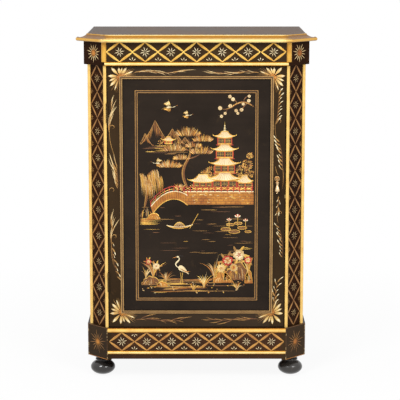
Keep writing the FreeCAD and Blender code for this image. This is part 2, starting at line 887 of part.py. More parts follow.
pin_half = "(pull_post_radius - eye_clearance)"
fork_bore = pull_bar("fork_bore", "pull_pin_radius + running_fit", "rosette_radius")
keep(cut("pull_rosette_cut", rosette, [fork_slot, fork_bore]), "pull_rosette")
keep(pull_bar("pull_pin_bar", "pull_pin_radius", pin_half), "pull_pin")

drop_section = [
    ("0", "-drop_collar_top"),
    ("0", "-drop_length"),
    ("drop_tip_radius", "-drop_length"),
    ("drop_radius", "-drop_belly_depth - drop_belly_height"),
    ("drop_radius", "-drop_belly_depth"),
    ("drop_neck_radius", "-drop_neck_depth"),
    ("drop_neck_radius", "-drop_collar_top - drop_collar_height"),
    ("drop_collar_radius", "-drop_collar_top - drop_collar_height"),
    ("drop_collar_radius", "-drop_collar_top"),
]
pear = move(turned("pear_body", "XZ_Plane", drop_section, "V_Axis"), "pull_x", "pull_y", "pull_height")
eye = pull_bar("drop_eye", "eye_radius", "eye_thickness / 2")
shank = board(
    "drop_shank",
    ("pull_x - eye_thickness / 2", "pull_x + eye_thickness / 2"),
    ("pull_y - drop_neck_radius", "pull_y + drop_neck_radius"),
    ("pull_height - drop_collar_top - drop_collar_height / 2", "pull_height"),
)
drop_bore = pull_bar("drop_bore", "pull_pin_radius + running_fit", "eye_thickness")
keep(cut("pull_drop_cut", joined("pull_drop_solid", [pear, eye, shank]), [drop_bore]), "pull_drop")

# Check every piece, then write one file for each

doc.recompute()
for piece in doc.Objects:
    if "Invalid" in piece.State or "Error" in piece.State:
        raise RuntimeError("%s did not build: %s" % (piece.Name, piece.State))
os.makedirs("parts", exist_ok=True)
for piece in nodes:
    if piece.Shape.isNull() or not piece.Shape.isValid() or not piece.Shape.Solids:
        raise RuntimeError("%s has no sound shape" % piece.Label)
    piece.Shape.exportStep(os.path.join("parts", piece.Label + ".step"))
print("%d nodes, %d solids" % (len(nodes), sum(len(piece.Shape.Solids) for piece in nodes)))
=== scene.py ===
# %% [markdown]
# # A black and gold side cabinet
# The solids of the cabinet come ready made from the CAD model: metres, standing on the floor at the origin,
# with the front towards -Y. This lesson gives them lacquer, gilding, brass and brushwork, and then sets up
# a camera and lights like those of a catalogue photograph. Each piece that is added rides on the body that
# carries it, so the door still opens and the drop of the pull still swings.

# %% Load the cabinet
import json
import math
import random

import bmesh
import bpy
from mathutils import Matrix, Vector
from mathutils.geometry import tessellate_polygon


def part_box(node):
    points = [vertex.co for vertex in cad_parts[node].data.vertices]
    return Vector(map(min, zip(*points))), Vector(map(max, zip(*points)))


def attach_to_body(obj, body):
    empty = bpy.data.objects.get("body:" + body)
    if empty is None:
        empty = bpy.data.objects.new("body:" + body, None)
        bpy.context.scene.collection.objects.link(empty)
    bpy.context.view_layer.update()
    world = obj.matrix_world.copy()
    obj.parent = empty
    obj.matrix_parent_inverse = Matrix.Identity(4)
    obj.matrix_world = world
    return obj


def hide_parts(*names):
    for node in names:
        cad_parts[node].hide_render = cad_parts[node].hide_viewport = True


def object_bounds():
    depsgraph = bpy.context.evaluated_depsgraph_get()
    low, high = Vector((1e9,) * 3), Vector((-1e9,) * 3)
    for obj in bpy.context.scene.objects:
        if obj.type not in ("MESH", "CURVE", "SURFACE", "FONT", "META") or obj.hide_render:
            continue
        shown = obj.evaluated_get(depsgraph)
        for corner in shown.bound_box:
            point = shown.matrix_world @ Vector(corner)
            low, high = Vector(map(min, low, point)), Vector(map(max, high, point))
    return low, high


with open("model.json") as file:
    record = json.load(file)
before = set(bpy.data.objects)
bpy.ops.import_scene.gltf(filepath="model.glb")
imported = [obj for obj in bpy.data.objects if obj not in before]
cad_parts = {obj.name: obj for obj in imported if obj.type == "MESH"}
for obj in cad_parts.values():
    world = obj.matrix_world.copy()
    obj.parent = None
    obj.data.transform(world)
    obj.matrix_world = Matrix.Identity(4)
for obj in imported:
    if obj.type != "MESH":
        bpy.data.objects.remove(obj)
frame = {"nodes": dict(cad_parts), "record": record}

MM = 0.001
SIDES = ((-1, "left"), (1, "right"))
scene = bpy.context.scene
solid_low, solid_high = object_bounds()
print("solids from", [round(x, 3) for x in solid_low], "to", [round(x, 3) for x in solid_high])

# %% [markdown]
# ## The camera
# The photograph was taken from straight in front, a little above the top, so a strip of the top shows and
# the corners that are cut back at 45 degrees show their depth. A long lens from over four metres keeps the
# uprights nearly parallel, as furniture photographers like them. Blender's shift moves the picture on the
# sensor without turning the camera; only a little of it is used.

# %% Place the camera
CAMERA_DISTANCE, CAMERA_HEIGHT, CAMERA_TILT = 4.6, 1.393, 9.53
LENS_MM, LENS_SHIFT = 139.0, (0.0086, -0.048)


def put(name, data):
    """A new object in the scene."""
    made = bpy.data.objects.new(name, data)
    scene.collection.objects.link(made)
    return made


frieze_low, frieze_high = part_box("frieze_front")
camera = put("camera", bpy.data.cameras.new("camera"))
camera.data.lens = LENS_MM
camera.data.shift_x, camera.data.shift_y = LENS_SHIFT
camera.location = (0, frieze_low.y - CAMERA_DISTANCE, CAMERA_HEIGHT)
camera.rotation_euler = (math.radians(90 - CAMERA_TILT), 0, 0)
scene.camera = camera
print("camera", [round(x, 3) for x in camera.location], "with a lens of", LENS_MM, "mm")

# %% [markdown]
# ## Nodes from Python
# A material or a Geometry Nodes tree is a web of nodes, and written out link by link it is hard to read.
# Two small classes fix that. A web makes any node in one line: names in lower case are its settings, names
# with a capital are its sockets, which take a value or a link, and values without a name fill the sockets
# in order. A wire is an output that Python's own + - * join to others with Math nodes, so a line such as
# 0.2 + 0.1 * cloud means what it says.

# %% Classes for wires and webs


def socket_of(sockets, key):
    """A socket by its place in the list, its identifier or its name, with underscores for spaces."""
    if isinstance(key, int):
        return sockets[key]
    exact = [socket for socket in sockets if socket.identifier == key]
    return exact[0] if exact else sockets[key.replace("_", " ")]


class Wire:
    """The output of a node, which Python's operators join to others with Math nodes."""

    def __init__(self, web, node, output=0):
        self.web, self.node, self.output = web, node, output

    @property
    def socket(self):
        return socket_of(self.node.outputs, self.output)

    def of(self, output):
        """Another output of the same node."""
        return Wire(self.web, self.node, output)

    def math(self, operation, *others):
        return self.web.node("ShaderNodeMath", self, *others, operation=operation)

    def __add__(self, other):
        return self.math("ADD", other)

    def __sub__(self, other):
        return self.math("SUBTRACT", other)

    def __mul__(self, other):
        return self.math("MULTIPLY", other)

    def __rsub__(self, other):
        return self * -1.0 + other

    __radd__ = __add__
    __rmul__ = __mul__

    def clipped(self):
        return self.math("MAXIMUM", 0.0).math("MINIMUM", 1.0)

    def from_to(self, low, high):
        """0 below low, 1 above high and a straight slope between."""
        return ((self - low) * (1 / (high - low))).clipped()


class Web:
    """A tree that nodes are written in."""

    def __init__(self, tree):
        self.tree = tree

    def link(self, value, socket):
        if isinstance(value, Wire):
            self.tree.links.new(value.socket, socket)
        else:
            socket.default_value = value

    def node(self, kind, *values, output=0, **named):
        """A node with its settings made first, then its sockets filled, as a wire from one output."""
        made = self.tree.nodes.new(kind)
        for key in [key for key in named if key[0].islower()]:
            setattr(made, key, named.pop(key))
        for key, value in [*enumerate(values), *named.items()]:
            self.link(value, socket_of(made.inputs, key))
        return Wire(self, made, output)


print("classes", Wire.__name__, "and", Web.__name__)

# %% [markdown]
# ## Floor, background and lamps
# The cabinet stands on a pale floor in front of plain white. The world is white to the camera and to
# reflections, and dimmer as a source of light, so the black lacquer mirrors a white studio without being
# flooded by it. The floor is mostly white to the camera too, with enough of its own shading left to hold
# the soft shadow under the feet. Two large soft lamps stand either side of the camera.

# %% Build the studio
WHITE = (1, 1, 1, 1)
WORLD_LIGHT = 0.5
FLOOR_HALF, FLOOR_GLOW, FLOOR_FADE = 7.0, 0.92, (0.5, 1.6)
LAMP_WIDTH = 1.2


def seen_directly(web):
    """1 for rays from the camera, from reflections and through glass, 0 for those that carry light."""
    path = web.node("ShaderNodeLightPath")
    return (path.of("Is Camera Ray") + path.of("Is Glossy Ray") + path.of("Is Transmission Ray")).clipped()


scene.world = bpy.data.worlds.new("studio")
scene.world.use_nodes = True
sky = Web(scene.world.node_tree)
background = sky.tree.nodes["Background"]
sky.link(WHITE, background.inputs["Color"])
sky.link(WORLD_LIGHT + (1 - WORLD_LIGHT) * seen_directly(sky), background.inputs["Strength"])

floor_mesh = bpy.data.meshes.new("floor")
outline = [(x * FLOOR_HALF, y * FLOOR_HALF, 0) for x, y in ((-1, -1), (1, -1), (1, 1), (-1, 1))]
floor_mesh.from_pydata(outline, [], [(0, 1, 2, 3)])
floor = put("floor", floor_mesh)

floor_paint = bpy.data.materials.new("pale_floor")
floor_paint.use_nodes = True
floor_paint.node_tree.nodes.clear()
ground = Web(floor_paint.node_tree)
matt = ground.node("ShaderNodeBsdfDiffuse", Color=(0.94, 0.94, 0.94, 1))
glow = ground.node("ShaderNodeEmission", Color=WHITE, Strength=1.0)
place = ground.node("ShaderNodeTexCoord", output="Object")
far_off = ground.node("ShaderNodeVectorMath", place, operation="LENGTH", output="Value").from_to(*FLOOR_FADE)
floor_white = FLOOR_GLOW + (1 - FLOOR_GLOW) * far_off
blend = ground.node("ShaderNodeMixShader", floor_white * seen_directly(ground), matt, glow)
ground.node("ShaderNodeOutputMaterial", Surface=blend)
floor_mesh.materials.append(floor_paint)


def soft_lamp(name, watts, place):
    """A square area lamp turned towards the middle of the cabinet."""
    lamp = put(name, bpy.data.lights.new(name, "AREA"))
    lamp.data.size, lamp.data.energy, lamp.location = LAMP_WIDTH, watts, place
    lamp.rotation_euler = ((solid_low + solid_high) / 2 - Vector(place)).to_track_quat("-Z", "Y").to_euler()


soft_lamp("key", 84, (-1.5, -2.6, 3.2))
soft_lamp("fill", 56, (1.9, -2.8, 2.6))
scene.view_settings.view_transform = "Standard"
print("studio ready, floor", 2 * FLOOR_HALF, "m wide")

# %% [markdown]
# ## Finishes
# Every finish is a Principled shader whose colour, roughness and bump vary with a few noise textures on
# Object coordinates, so a metre of wood shows the same scale of grain everywhere. A value that never
# changes is set on the shader itself. Colours are written as they look on screen, from 0 to 255, and
# turned into the linear values that Blender works in.

# %% A class for finishes
FINISHES = {}


def seen(colour):
    """A colour in screen values as linear red, green, blue and full alpha."""
    parts = [part / 255 for part in colour]
    return (*[part / 12.92 if part <= 0.04045 else ((part + 0.055) / 1.055) ** 2.4 for part in parts], 1.0)


class Finish(Web):
    """A material with one Principled shader and the nodes that vary it."""

    def __init__(self, name, **fixed):
        self.material = FINISHES[name] = bpy.data.materials.new(name)
        self.material.use_nodes = True
        super().__init__(self.material.node_tree)
        self.feed(**fixed)

    def feed(self, **values):
        """Values and links for the shader's sockets."""
        for name, value in values.items():
            self.link(value, socket_of(self.tree.nodes["Principled BSDF"].inputs, name))

    def place(self, stretch=(1, 1, 1)):
        """Object coordinates, drawn out or squeezed along the axes."""
        spot = self.node("ShaderNodeTexCoord", output="Object")
        return self.node("ShaderNodeMapping", Vector=spot, Scale=stretch)

    def axis(self, name):
        """How far a point lies along X, Y or Z."""
        return self.node("ShaderNodeSeparateXYZ", self.place(), output=name)

    def noise(self, scale, detail, stretch=(1, 1, 1), roughness=0.55):
        """A cloudy value about 0.5, with scale clouds to a metre."""
        place = self.place(stretch)
        return self.node("ShaderNodeTexNoise", Vector=place, Scale=scale, Detail=detail, Roughness=roughness)

    def mix(self, share, *colours):
        """A colour between two, which are links or screen values, by a share from 0 to 1."""
        first, second = [colour if isinstance(colour, Wire) else seen(colour) for colour in colours]
        sockets = {"Factor_Float": share, "A_Color": first, "B_Color": second}
        return self.node("ShaderNodeMix", data_type="RGBA", output="Result_Color", **sockets)

    def bump(self, height, strength, distance):
        """Let a height tilt the surface."""
        self.feed(Normal=self.node("ShaderNodeBump", Height=height, Strength=strength, Distance=distance))


print("class", Finish.__name__)

# %% [markdown]
# ### Black lacquer
# Japanned black is many coats of varnish coloured with lampblack over wood. It is never one flat black: old
# varnish clouds to a brownish grey, brush marks stay as faint streaks, and handled places rub a little
# browner. Slow noise gives the clouds, noise drawn out along the brush gives the streaks, and the
# roughness follows both, so reflections break up softly instead of mirroring.

# %% Make the lacquers
UPRIGHT, ACROSS, ROUND = (1, 1, 0.12), (0.12, 1, 1), (1, 1, 1)
WARM = (1.0, 0.9, 0.8, 1)


def lacquer(name, black, cloudy, wear_and_highlight, gloss, brush=UPRIGHT, shine=0.08, coat=0.02, tint=WHITE):
    """Black varnish with clouds, brush streaks along the squeezed axis and rubbed spots."""
    finish = Finish(name, IOR=1.46, Specular_IOR_Level=shine, Specular_Tint=tint)
    finish.feed(Coat_Roughness=0.1, Coat_Weight=coat)
    cloud = finish.noise(5.0, 5.0).from_to(0.35, 0.72)
    streak = finish.noise(70.0, 3.0, brush)
    speck = finish.noise(190.0, 2.0)
    worn = (finish.noise(24.0, 7.0, roughness=0.7) * 0.8 + speck * 0.2).from_to(0.57, 0.7)
    colour = finish.mix((cloud * 0.75 + streak * 0.35).clipped(), black, cloudy)
    finish.feed(
        Base_Color=finish.mix(worn * 0.55, colour, wear_and_highlight),
        Roughness=gloss + 0.1 * cloud + 0.08 * streak + 0.12 * worn,
    )
    finish.bump(streak * 0.5 + speck * 0.2 + cloud * 0.6, 0.12, 0.0006)


lacquer("black_lacquer", (41, 28, 13), (61, 45, 27), (80, 55, 30), 0.24)
lacquer("panel_lacquer", (28, 21, 15), (48, 38, 30), (60, 46, 30), 0.26, ACROSS, 0.1)
lacquer("rail_lacquer", (46, 35, 24), (62, 49, 36), (78, 60, 40), 0.24, ACROSS)
lacquer("plinth_lacquer", (48, 29, 17), (68, 43, 26), (88, 56, 34), 0.26, ACROSS)
lacquer("cant_lacquer", (32, 15, 5), (52, 27, 9), (76, 44, 18), 0.28, UPRIGHT, 0.04, 0.0)
lacquer("ebonised_feet", (34, 31, 29), (54, 50, 46), (64, 54, 46), 0.16, ROUND, 0.5, 0.25)
lacquer("top_lacquer", (36, 23, 14), (98, 72, 51), (136, 98, 66), 0.4, ACROSS, 0.17, 0.0, WARM)
print("lacquers", list(FINISHES))

# %% [markdown]
# ### Gilding and paint
# The mouldings are gilt: leaf or gold powder over a warm ground. Crests that face ahead get a painted
# highlight and hollows a painted shade in the colour of the ground, and wear lets red-brown show in patches.
# The brushwork uses the same powders bound in varnish, with cream, vermilion and umber, so it is less
# metallic. One function makes them all from a bright colour, a deep one and the colour that shows where the
# paint has gone, which on mouldings is also their painted shade.

# %% Make the gilding
FRONT_AND_CORNERS = ((-1, -1, 0), (0, -1, 0), (1, -1, 0))
EAR_START, EAR_FULL = 0.266, 0.296
BAND_SOFT, FLAT_SOFT = 0.004, 0.0003


# The facing value places the painted highlight on crests and the painted shade in hollows of the gilding.
def crest(finish):
    """1 where a moulding faces the front or a cut corner squarely, 0 in its quirks and hollows."""
    facing = finish.node("ShaderNodeTexCoord", output="Normal")
    dots = []
    for way in FRONT_AND_CORNERS:
        pair = (facing, Vector(way).normalized())
        dots.append(finish.node("ShaderNodeVectorMath", *pair, operation="DOT_PRODUCT", output="Value"))
    return dots[0].math("MAXIMUM", dots[1].math("MAXIMUM", dots[2]))


def gilding(name, bright, deep, under, metal, rough, wear, wear_and_highlight=None, hollow=(0.35, 0.82), **more):
    """Gold or paint that varies from bright to deep, with specks of what is under it and, where a highlight
    colour is given, a painted highlight on crests and painted shade in hollows.

    Hollow is how squarely a face must look ahead to leave the painted shade of the ground and to be full
    gold. Band is the height below which a moulding gets a painted highlight. Ears are the colours towards its
    two ends, where it has worn brown: the first in hollows, darker as painted shade, the second on crests,
    paler as painted highlight. Flat is the place along Y behind which the recessed part of a reeded fillet
    gets painted shade, and its colour there."""
    finish = Finish(name, Metallic=metal, Specular_IOR_Level=0.5)
    cloud = finish.noise(34.0, 5.0).from_to(0.32, 0.7)
    grain = finish.noise(420.0, 3.0)
    gone = finish.noise(95.0, 6.0, roughness=0.75).from_to(0.62 - wear * 0.1, 0.74 - wear * 0.1)
    colour = finish.mix(cloud, bright, deep)
    if wear_and_highlight:
        # Painted shade and highlight: hollows take the ground colour and crests that face ahead take the pale
        # highlight colour.
        edge = crest(finish)
        colour = finish.mix(edge.from_to(*hollow), under, colour)
        colour = finish.mix(edge.from_to(0.86, 0.99) * (1.0 - 0.5 * cloud), colour, wear_and_highlight)
    # Painted highlight: below the band height a moulding is mixed mostly toward the pale highlight colour.
    if "band" in more:
        above = finish.axis("Z").from_to(more["band"], more["band"] + BAND_SOFT)
        colour = finish.mix(above, finish.mix(0.15 + cloud * 0.4, wear_and_highlight, bright), colour)
    # Towards the two ends the gilding is worn brown; there too hollows take the first colour as painted shade
    # and crests the second as painted highlight.
    if "ears" in more:
        near_end = (finish.axis("X").math("ABSOLUTE") + 0.02 * cloud).from_to(EAR_START, EAR_FULL)
        colour = finish.mix(near_end, colour, finish.mix(edge.from_to(*hollow), *more["ears"]))
    # Painted shade: the recessed parts of a reeded fillet, behind the given depth, take a darker colour.
    if "flat" in more:
        depth, dark = more["flat"]
        colour = finish.mix(finish.axis("Y").from_to(depth - FLAT_SOFT, depth), colour, dark)
    finish.feed(
        Base_Color=finish.mix(gone * wear, colour, under),
        Roughness=rough + 0.14 * cloud + 0.2 * gone * wear,
    )
    finish.bump(grain * 0.4 + cloud * 0.6, 0.25, 0.0004)
    return finish.material


# PALE is a painted highlight colour for crests; AMBER is the ground that wear shows and also the painted
# shade in hollows.
PALE, AMBER, FAINT = (255, 236, 168), (158, 96, 30), (52, 36, 24)
BAND_HIGH, FLAT_DEPTH = 0.0085, 0.0008
MOULDING = ((240, 190, 82), (214, 156, 58), (182, 124, 26), 0.6, 0.28, 0.35, PALE, (0.6, 0.88))
# Worn ends: the first colour is for hollows, darkened as painted shade, the second for crests, lightened as
# painted highlight.
EARS = ((136, 96, 54), (220, 170, 82))
# Painted shade colours for the recessed parts of the door fillet and the panel fillet.
door_fillet_shade = (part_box("door_fillet")[0].y + FLAT_DEPTH, (100, 72, 42))
panel_fillet_shade = (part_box("panel_fillet")[0].y + FLAT_DEPTH, FAINT)
# The last colour given to gilt_wood, pilaster_gilt, fillet_gilt and inner_gilt is their painted highlight on
# crests.
gilding("gilt_wood", (240, 188, 78), (212, 152, 52), AMBER, 0.5, 0.28, 0.35, PALE)
gilding("pilaster_gilt", (232, 176, 74), (204, 144, 50), AMBER, 0.5, 0.3, 0.4, (252, 214, 128))
gilding("corner_gilt", (232, 182, 76), (194, 136, 48), (148, 90, 36), 0.5, 0.32, 0.5)
gilding("moulding_gilt", *MOULDING, band=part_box("top_moulding")[0].z + BAND_HIGH, ears=EARS)
gilding("fillet_gilt", (164, 124, 70), (126, 90, 48), FAINT, 0.4, 0.34, 0.4, (202, 162, 100), flat=door_fillet_shade)
gilding("inner_gilt", (152, 110, 58), (112, 76, 40), FAINT, 0.4, 0.34, 0.4, (180, 136, 78), flat=panel_fillet_shade)
print("gilding", [name for name in FINISHES if "gil" in name])

# %% Make the paints
RED_BROWN = (70, 34, 20)
PAINTS = [
    ("gold", (238, 196, 96), (206, 152, 58), RED_BROWN, 0.45, 0.34, 0.4),
    ("plinth_gold", (214, 160, 80), (162, 106, 52), RED_BROWN, 0.4, 0.36, 0.6),
    ("cant_gold", (176, 126, 64), (128, 84, 42), RED_BROWN, 0.35, 0.38, 0.5),
    ("spray_gold", (192, 144, 74), (136, 96, 50), RED_BROWN, 0.4, 0.38, 0.5),
    ("spray_pale", (232, 206, 150), (186, 146, 90), RED_BROWN, 0.15, 0.42, 0.4),
    ("burst_gold", (234, 200, 124), (196, 148, 76), RED_BROWN, 0.25, 0.4, 0.4),
    ("amber", (206, 138, 54), (160, 94, 38), RED_BROWN, 0.4, 0.38, 0.45),
    ("umber", (136, 88, 46), (92, 56, 30), (40, 26, 20), 0.3, 0.42, 0.5),
    ("cream", (244, 230, 190), (222, 196, 142), (150, 110, 64), 0.12, 0.42, 0.3),
    ("red", (196, 60, 38), (150, 42, 26), (70, 26, 18), 0.1, 0.4, 0.4),
    ("dark", (44, 30, 24), (30, 22, 19), (20, 16, 14), 0.0, 0.4, 0.3),
]
INKS = {name: gilding(name + "_paint", *values) for name, *values in PAINTS}
print("paints", list(INKS))

# %% [markdown]
# ### Brass, steel and stained pine
# The fittings are cast and turned brass, polished and a little tarnished. The inside, the back and the
# shelves are softwood stained dark: long grain along the board, drawn by bands that a noise bends.

# %% Make the metals and the wood


def metal(name, bright, dull, rough):
    """Polished metal with cloudy tarnish and fine scratches."""
    finish = Finish(name, Metallic=1.0)
    cloud = finish.noise(60.0, 5.0).from_to(0.35, 0.75)
    scratch = finish.noise(900.0, 2.0, (1, 1, 0.1))
    tarnished = finish.mix(cloud * 0.7, bright, dull)
    finish.feed(Base_Color=tarnished, Roughness=rough + 0.16 * cloud + 0.08 * scratch)
    finish.bump(scratch, 0.06, 0.0003)


def pine(name, along):
    """Stained softwood with bent growth bands and fine pores along the grain."""
    finish = Finish(name, Specular_IOR_Level=0.3)
    band = finish.noise(9.0, 6.0, along, 0.6).from_to(0.3, 0.7)
    ring = finish.noise(46.0, 3.0, along)
    pore = finish.noise(320.0, 2.0, along)
    stained = finish.mix((band * 0.6 + ring * 0.5 - 0.1).clipped(), (122, 84, 54), (74, 46, 28))
    finish.feed(Base_Color=stained, Roughness=0.52 + 0.2 * ring)
    finish.bump(ring * 0.5 + pore * 0.5, 0.3, 0.0006)


metal("brass", (236, 206, 140), (188, 142, 70), 0.16)
metal("pull_brass", (240, 212, 166), (196, 152, 102), 0.18)
metal("old_brass", (196, 160, 112), (124, 92, 58), 0.28)
# Painted shade: this brass is darkened nearly to black for the hinges and strike plate in the door's gap.
metal("dark_brass", (84, 66, 40), (42, 33, 24), 0.32)
metal("steel", (176, 174, 170), (120, 116, 110), 0.3)
pine("stained_pine", (1, 1, 0.06))
pine("stained_pine_level", (0.06, 1, 1))
print(len(FINISHES), "finishes in all")

# %% [markdown]
# ### Dressing the solids
# The record of the part says which finish each solid takes. A few solids differ from the rest of their group,
# because their brush marks or their grain run the other way or they have faded, and the hinges and the strike
# plate get brass darkened as painted shade, because they sit in the gap at the door's edge.

# %% Give every solid its finish
UNLIKE_THEIR_GROUP = {
    "top_lacquer": "top_board",
    "cant_lacquer": "corner_pilaster_left corner_pilaster_right frieze_block_left frieze_block_right",
    "panel_lacquer": "door_panel",
    "rail_lacquer": "door_rail_top door_rail_bottom",
    "plinth_lacquer": "plinth_front",
    "moulding_gilt": "top_moulding",
    "pilaster_gilt": "pilaster_beads_left pilaster_beads_right plinth_upper_bead",
    "corner_gilt": "frieze_corner_bead_left frieze_corner_bead_right",
    "fillet_gilt": "door_fillet",
    "inner_gilt": "panel_fillet",
    "old_brass": "pull_rosette",
    "dark_brass": "hinge_leaves_case hinge_leaves_door hinge_pins hinge_screws_case hinge_screws_door"
    " strike_plate strike_screws",
    "stained_pine_level": "shelf_lower shelf_upper bottom_board plinth_back",
}
finish_of = {node: finish for finish, nodes in UNLIKE_THEIR_GROUP.items() for node in nodes.split()}


def dress(piece, finish):
    """Put one finish on a whole piece."""
    if not piece.material_slots:
        piece.data.materials.append(FINISHES[finish])
    for slot in piece.material_slots:
        slot.material = FINISHES[finish]


for subpart in frame["record"]["subparts"]:
    dress(frame["nodes"][subpart["node"]], finish_of.get(subpart["node"], subpart["material_slot"]))
print("dressed", len(frame["nodes"]), "solids")

# %% [markdown]
# ## Brushwork
# The gold ornament on such a cabinet is painted by hand: size is laid with a loaded brush, gold powder is
# dusted on, and the stroke stands up from the lacquer as a low ridge. A picture texture could fake it, but
# real ridges catch the light. Each stroke here is a strip of faces three points wide, sunk a hair into the
# lacquer at both edges and raised along its middle. A patch is a flat of colour with low walls. They are
# drawn on a sheet in millimetres, and a matrix lays the sheet on a face of the cabinet.

# %% Helpers that place a sheet and attach a piece


def face_of(origin, right=(1, 0, 0), up=(0, 0, 1)):
    """A matrix from millimetres across, up and out of a flat face to metres in the room."""
    right, up = Vector(right).normalized(), Vector(up).normalized()
    turn = Matrix((right, up, right.cross(up))).transposed().to_4x4()
    return Matrix.Translation(origin) @ turn @ Matrix.Scale(MM, 4)


def attach(name, mesh, body):
    """A finished mesh as a piece that rides on a body."""
    mesh.name = name
    piece = put(name, mesh)
    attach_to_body(piece, body)
    print(name, "has", len(mesh.polygons), "faces")
    return piece


front_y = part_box("door_stile_left")[0].y
panel_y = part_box("door_panel")[0].y
print("door face at", round(front_y, 4), "and panel face at", round(panel_y, 4))

# %% The shapes of a brush stroke


def spindle(t):
    """Full in the middle and fine at both ends."""
    return 0.28 + 0.72 * math.sin(math.pi * t)


def petal(t):
    """Fine at the root, full towards the tip."""
    return max(0.12, math.sin(math.pi * t ** 1.7))


def lash(t):
    """Full near the root and drawn out to a fine tip."""
    return max(0.05, math.sin(math.pi * t ** 0.6))


def even(t):
    """One width from end to end."""
    return 1.0


def straight(start, end, count):
    """Points on a line."""
    return [tuple(a + (b - a) * i / count for a, b in zip(start, end)) for i in range(count + 1)]


def bend(start, pull, end, count):
    """Points on a curve that leaves its start towards the pull point and comes to its end from it."""

    def at(t):
        return tuple((1 - t) ** 2 * a + 2 * t * (1 - t) * b + t * t * c for a, b, c in zip(start, pull, end))

    return [at(i / count) for i in range(count + 1)]


def toward(start, degrees, length):
    """The point at a distance and an angle from another."""
    angle = math.radians(degrees)
    return (start[0] + length * math.cos(angle), start[1] + length * math.sin(angle))


print("stroke shapes", [shape.__name__ for shape in (spindle, petal, lash, even)])

# %% A class for brushwork
LAYER_MM, SINK_MM = 0.1, 0.06
RIDGE_LEAST, RIDGE_RISE, RIDGE_MOST = 0.1, 0.25, 0.35


class Brushwork:
    """Strokes and patches of paint on one flat sheet, in millimetres across and up."""

    def __init__(self, window=None):
        self.points, self.faces, self.inks = [], [], []
        self.window = window

    def outside(self, path):
        """Whether a path leaves the window that the sheet is kept to."""
        if self.window is None:
            return False
        left, low, right, high = self.window
        return any(not (left <= x <= right and low <= y <= high) for x, y in path)

    def stroke(self, path, width, ink, layer=0, shape=spindle):
        """A ridge of paint along a path, with its width shaped from end to end."""
        if self.outside(path):
            return
        first, last = len(self.points), len(path) - 1
        edge = layer * LAYER_MM - SINK_MM
        for i, (x, y) in enumerate(path):
            before, after = path[max(i - 1, 0)], path[min(i + 1, last)]
            along = Vector((after[0] - before[0], after[1] - before[1]))
            half = width * shape(i / last) / 2
            side = Vector((-along.y, along.x)) * (half / max(along.length, 1e-6))
            ridge = layer * LAYER_MM + min(RIDGE_MOST, RIDGE_LEAST + RIDGE_RISE * half)
            self.points += [(x + side.x, y + side.y, edge), (x, y, ridge), (x - side.x, y - side.y, edge)]
        for a in range(first, first + 3 * last, 3):
            self.faces += [(a, a + 1, a + 4, a + 3), (a + 1, a + 2, a + 5, a + 4)]
            self.inks += [ink, ink]

    def line(self, start, end, count, *look):
        """A straight stroke in a count of steps; its look is width, ink, layer and shape."""
        self.stroke(straight(start, end, count), *look)

    def curve(self, start, pull, end, count, *look):
        """A bent stroke in a count of steps."""
        self.stroke(bend(start, pull, end, count), *look)

    def patch(self, border, ink, layer=0):
        """A flat of paint inside a border, with walls down to the layer below."""
        if self.outside(border):
            return
        area = sum(a[0] * b[1] - b[0] * a[1] for a, b in zip(border, border[1:] + border[:1]))
        ring = border if area > 0 else border[::-1]
        first, count = len(self.points), len(ring)
        self.points += [(x, y, layer * LAYER_MM - SINK_MM) for x, y in ring]
        self.points += [(x, y, (layer + 1) * LAYER_MM) for x, y in ring]
        walls = [(i, (i + 1) % count) for i in range(count)]
        made = [(first + i, first + j, first + count + j, first + count + i) for i, j in walls]
        for corners in tessellate_polygon([[Vector((x, y, 0)) for x, y in ring]]):
            a, b, c = (Vector(ring[i]) for i in corners)
            turn = (b - a).cross(c - a)
            made.append(tuple(first + count + i for i in (corners if turn > 0 else corners[::-1])))
        self.faces += made
        self.inks += [ink] * len(made)

    def mesh(self, name):
        """The sheet as a mesh in millimetres, with a material for each paint."""
        mesh = bpy.data.meshes.new(name)
        mesh.from_pydata(self.points, [], self.faces)
        used = sorted(set(self.inks))
        for ink in used:
            mesh.materials.append(INKS[ink])
        mesh.polygons.foreach_set("material_index", [used.index(ink) for ink in self.inks])
        return mesh

    def done(self, name, face, body):
        """Lay the sheet on a face of the cabinet."""
        mesh = self.mesh(name)
        mesh.transform(face)
        attach(name, mesh, body)


print("class", Brushwork.__name__)

# %% [markdown]
# ## Recipes
# A band of lattice is one motif set out again and again along a line, which is what Geometry Nodes are
# for. A recipe is a node tree with named inputs. Cooking it puts the tree on an empty object with a
# modifier, sets the inputs, reads the result back as a plain mesh, lays that on a face and removes
# everything else.

# %% A class for Geometry Nodes recipes


class Recipe(Web):
    """A Geometry Nodes tree with named inputs and one mesh as its result."""

    def __init__(self, name, **asked):
        super().__init__(bpy.data.node_groups.new(name, "GeometryNodeTree"))
        make = self.tree.interface.new_socket
        make("Geometry", in_out="OUTPUT", socket_type="NodeSocketGeometry")
        made = [make(label, in_out="INPUT", socket_type="NodeSocket" + kind) for label, kind in asked.items()]
        self.inputs = [socket.identifier for socket in made]
        self.given = self.node("NodeGroupInput")
        print(name, "asks for", list(asked))

    def asked(self):
        """A wire from each of the inputs."""
        return [self.given.of(identifier) for identifier in self.inputs]

    def shape_of(self, thing):
        return self.node("GeometryNodeObjectInfo", Object=thing, output="Geometry")

    def chance(self, low, high, seed):
        """A number for each point, drawn by a seed."""
        sockets = {"Min_001": low, "Max_001": high, "Seed": seed}
        return self.node("FunctionNodeRandomValue", data_type="FLOAT", output="Value_001", **sockets)

    def set_out(self, motif, points, turn, size, finish):
        """The motif on every point, turned and sized, as real faces with one material."""
        turn = self.node("FunctionNodeEulerToRotation", Euler=turn)
        sockets = {"Points": points, "Instance": self.shape_of(motif), "Rotation": turn, "Scale": size}
        copies = self.node("GeometryNodeInstanceOnPoints", **sockets)
        real = self.node("GeometryNodeRealizeInstances", Geometry=copies)
        self.node("NodeGroupOutput", self.node("GeometryNodeSetMaterial", Geometry=real, Material=finish))


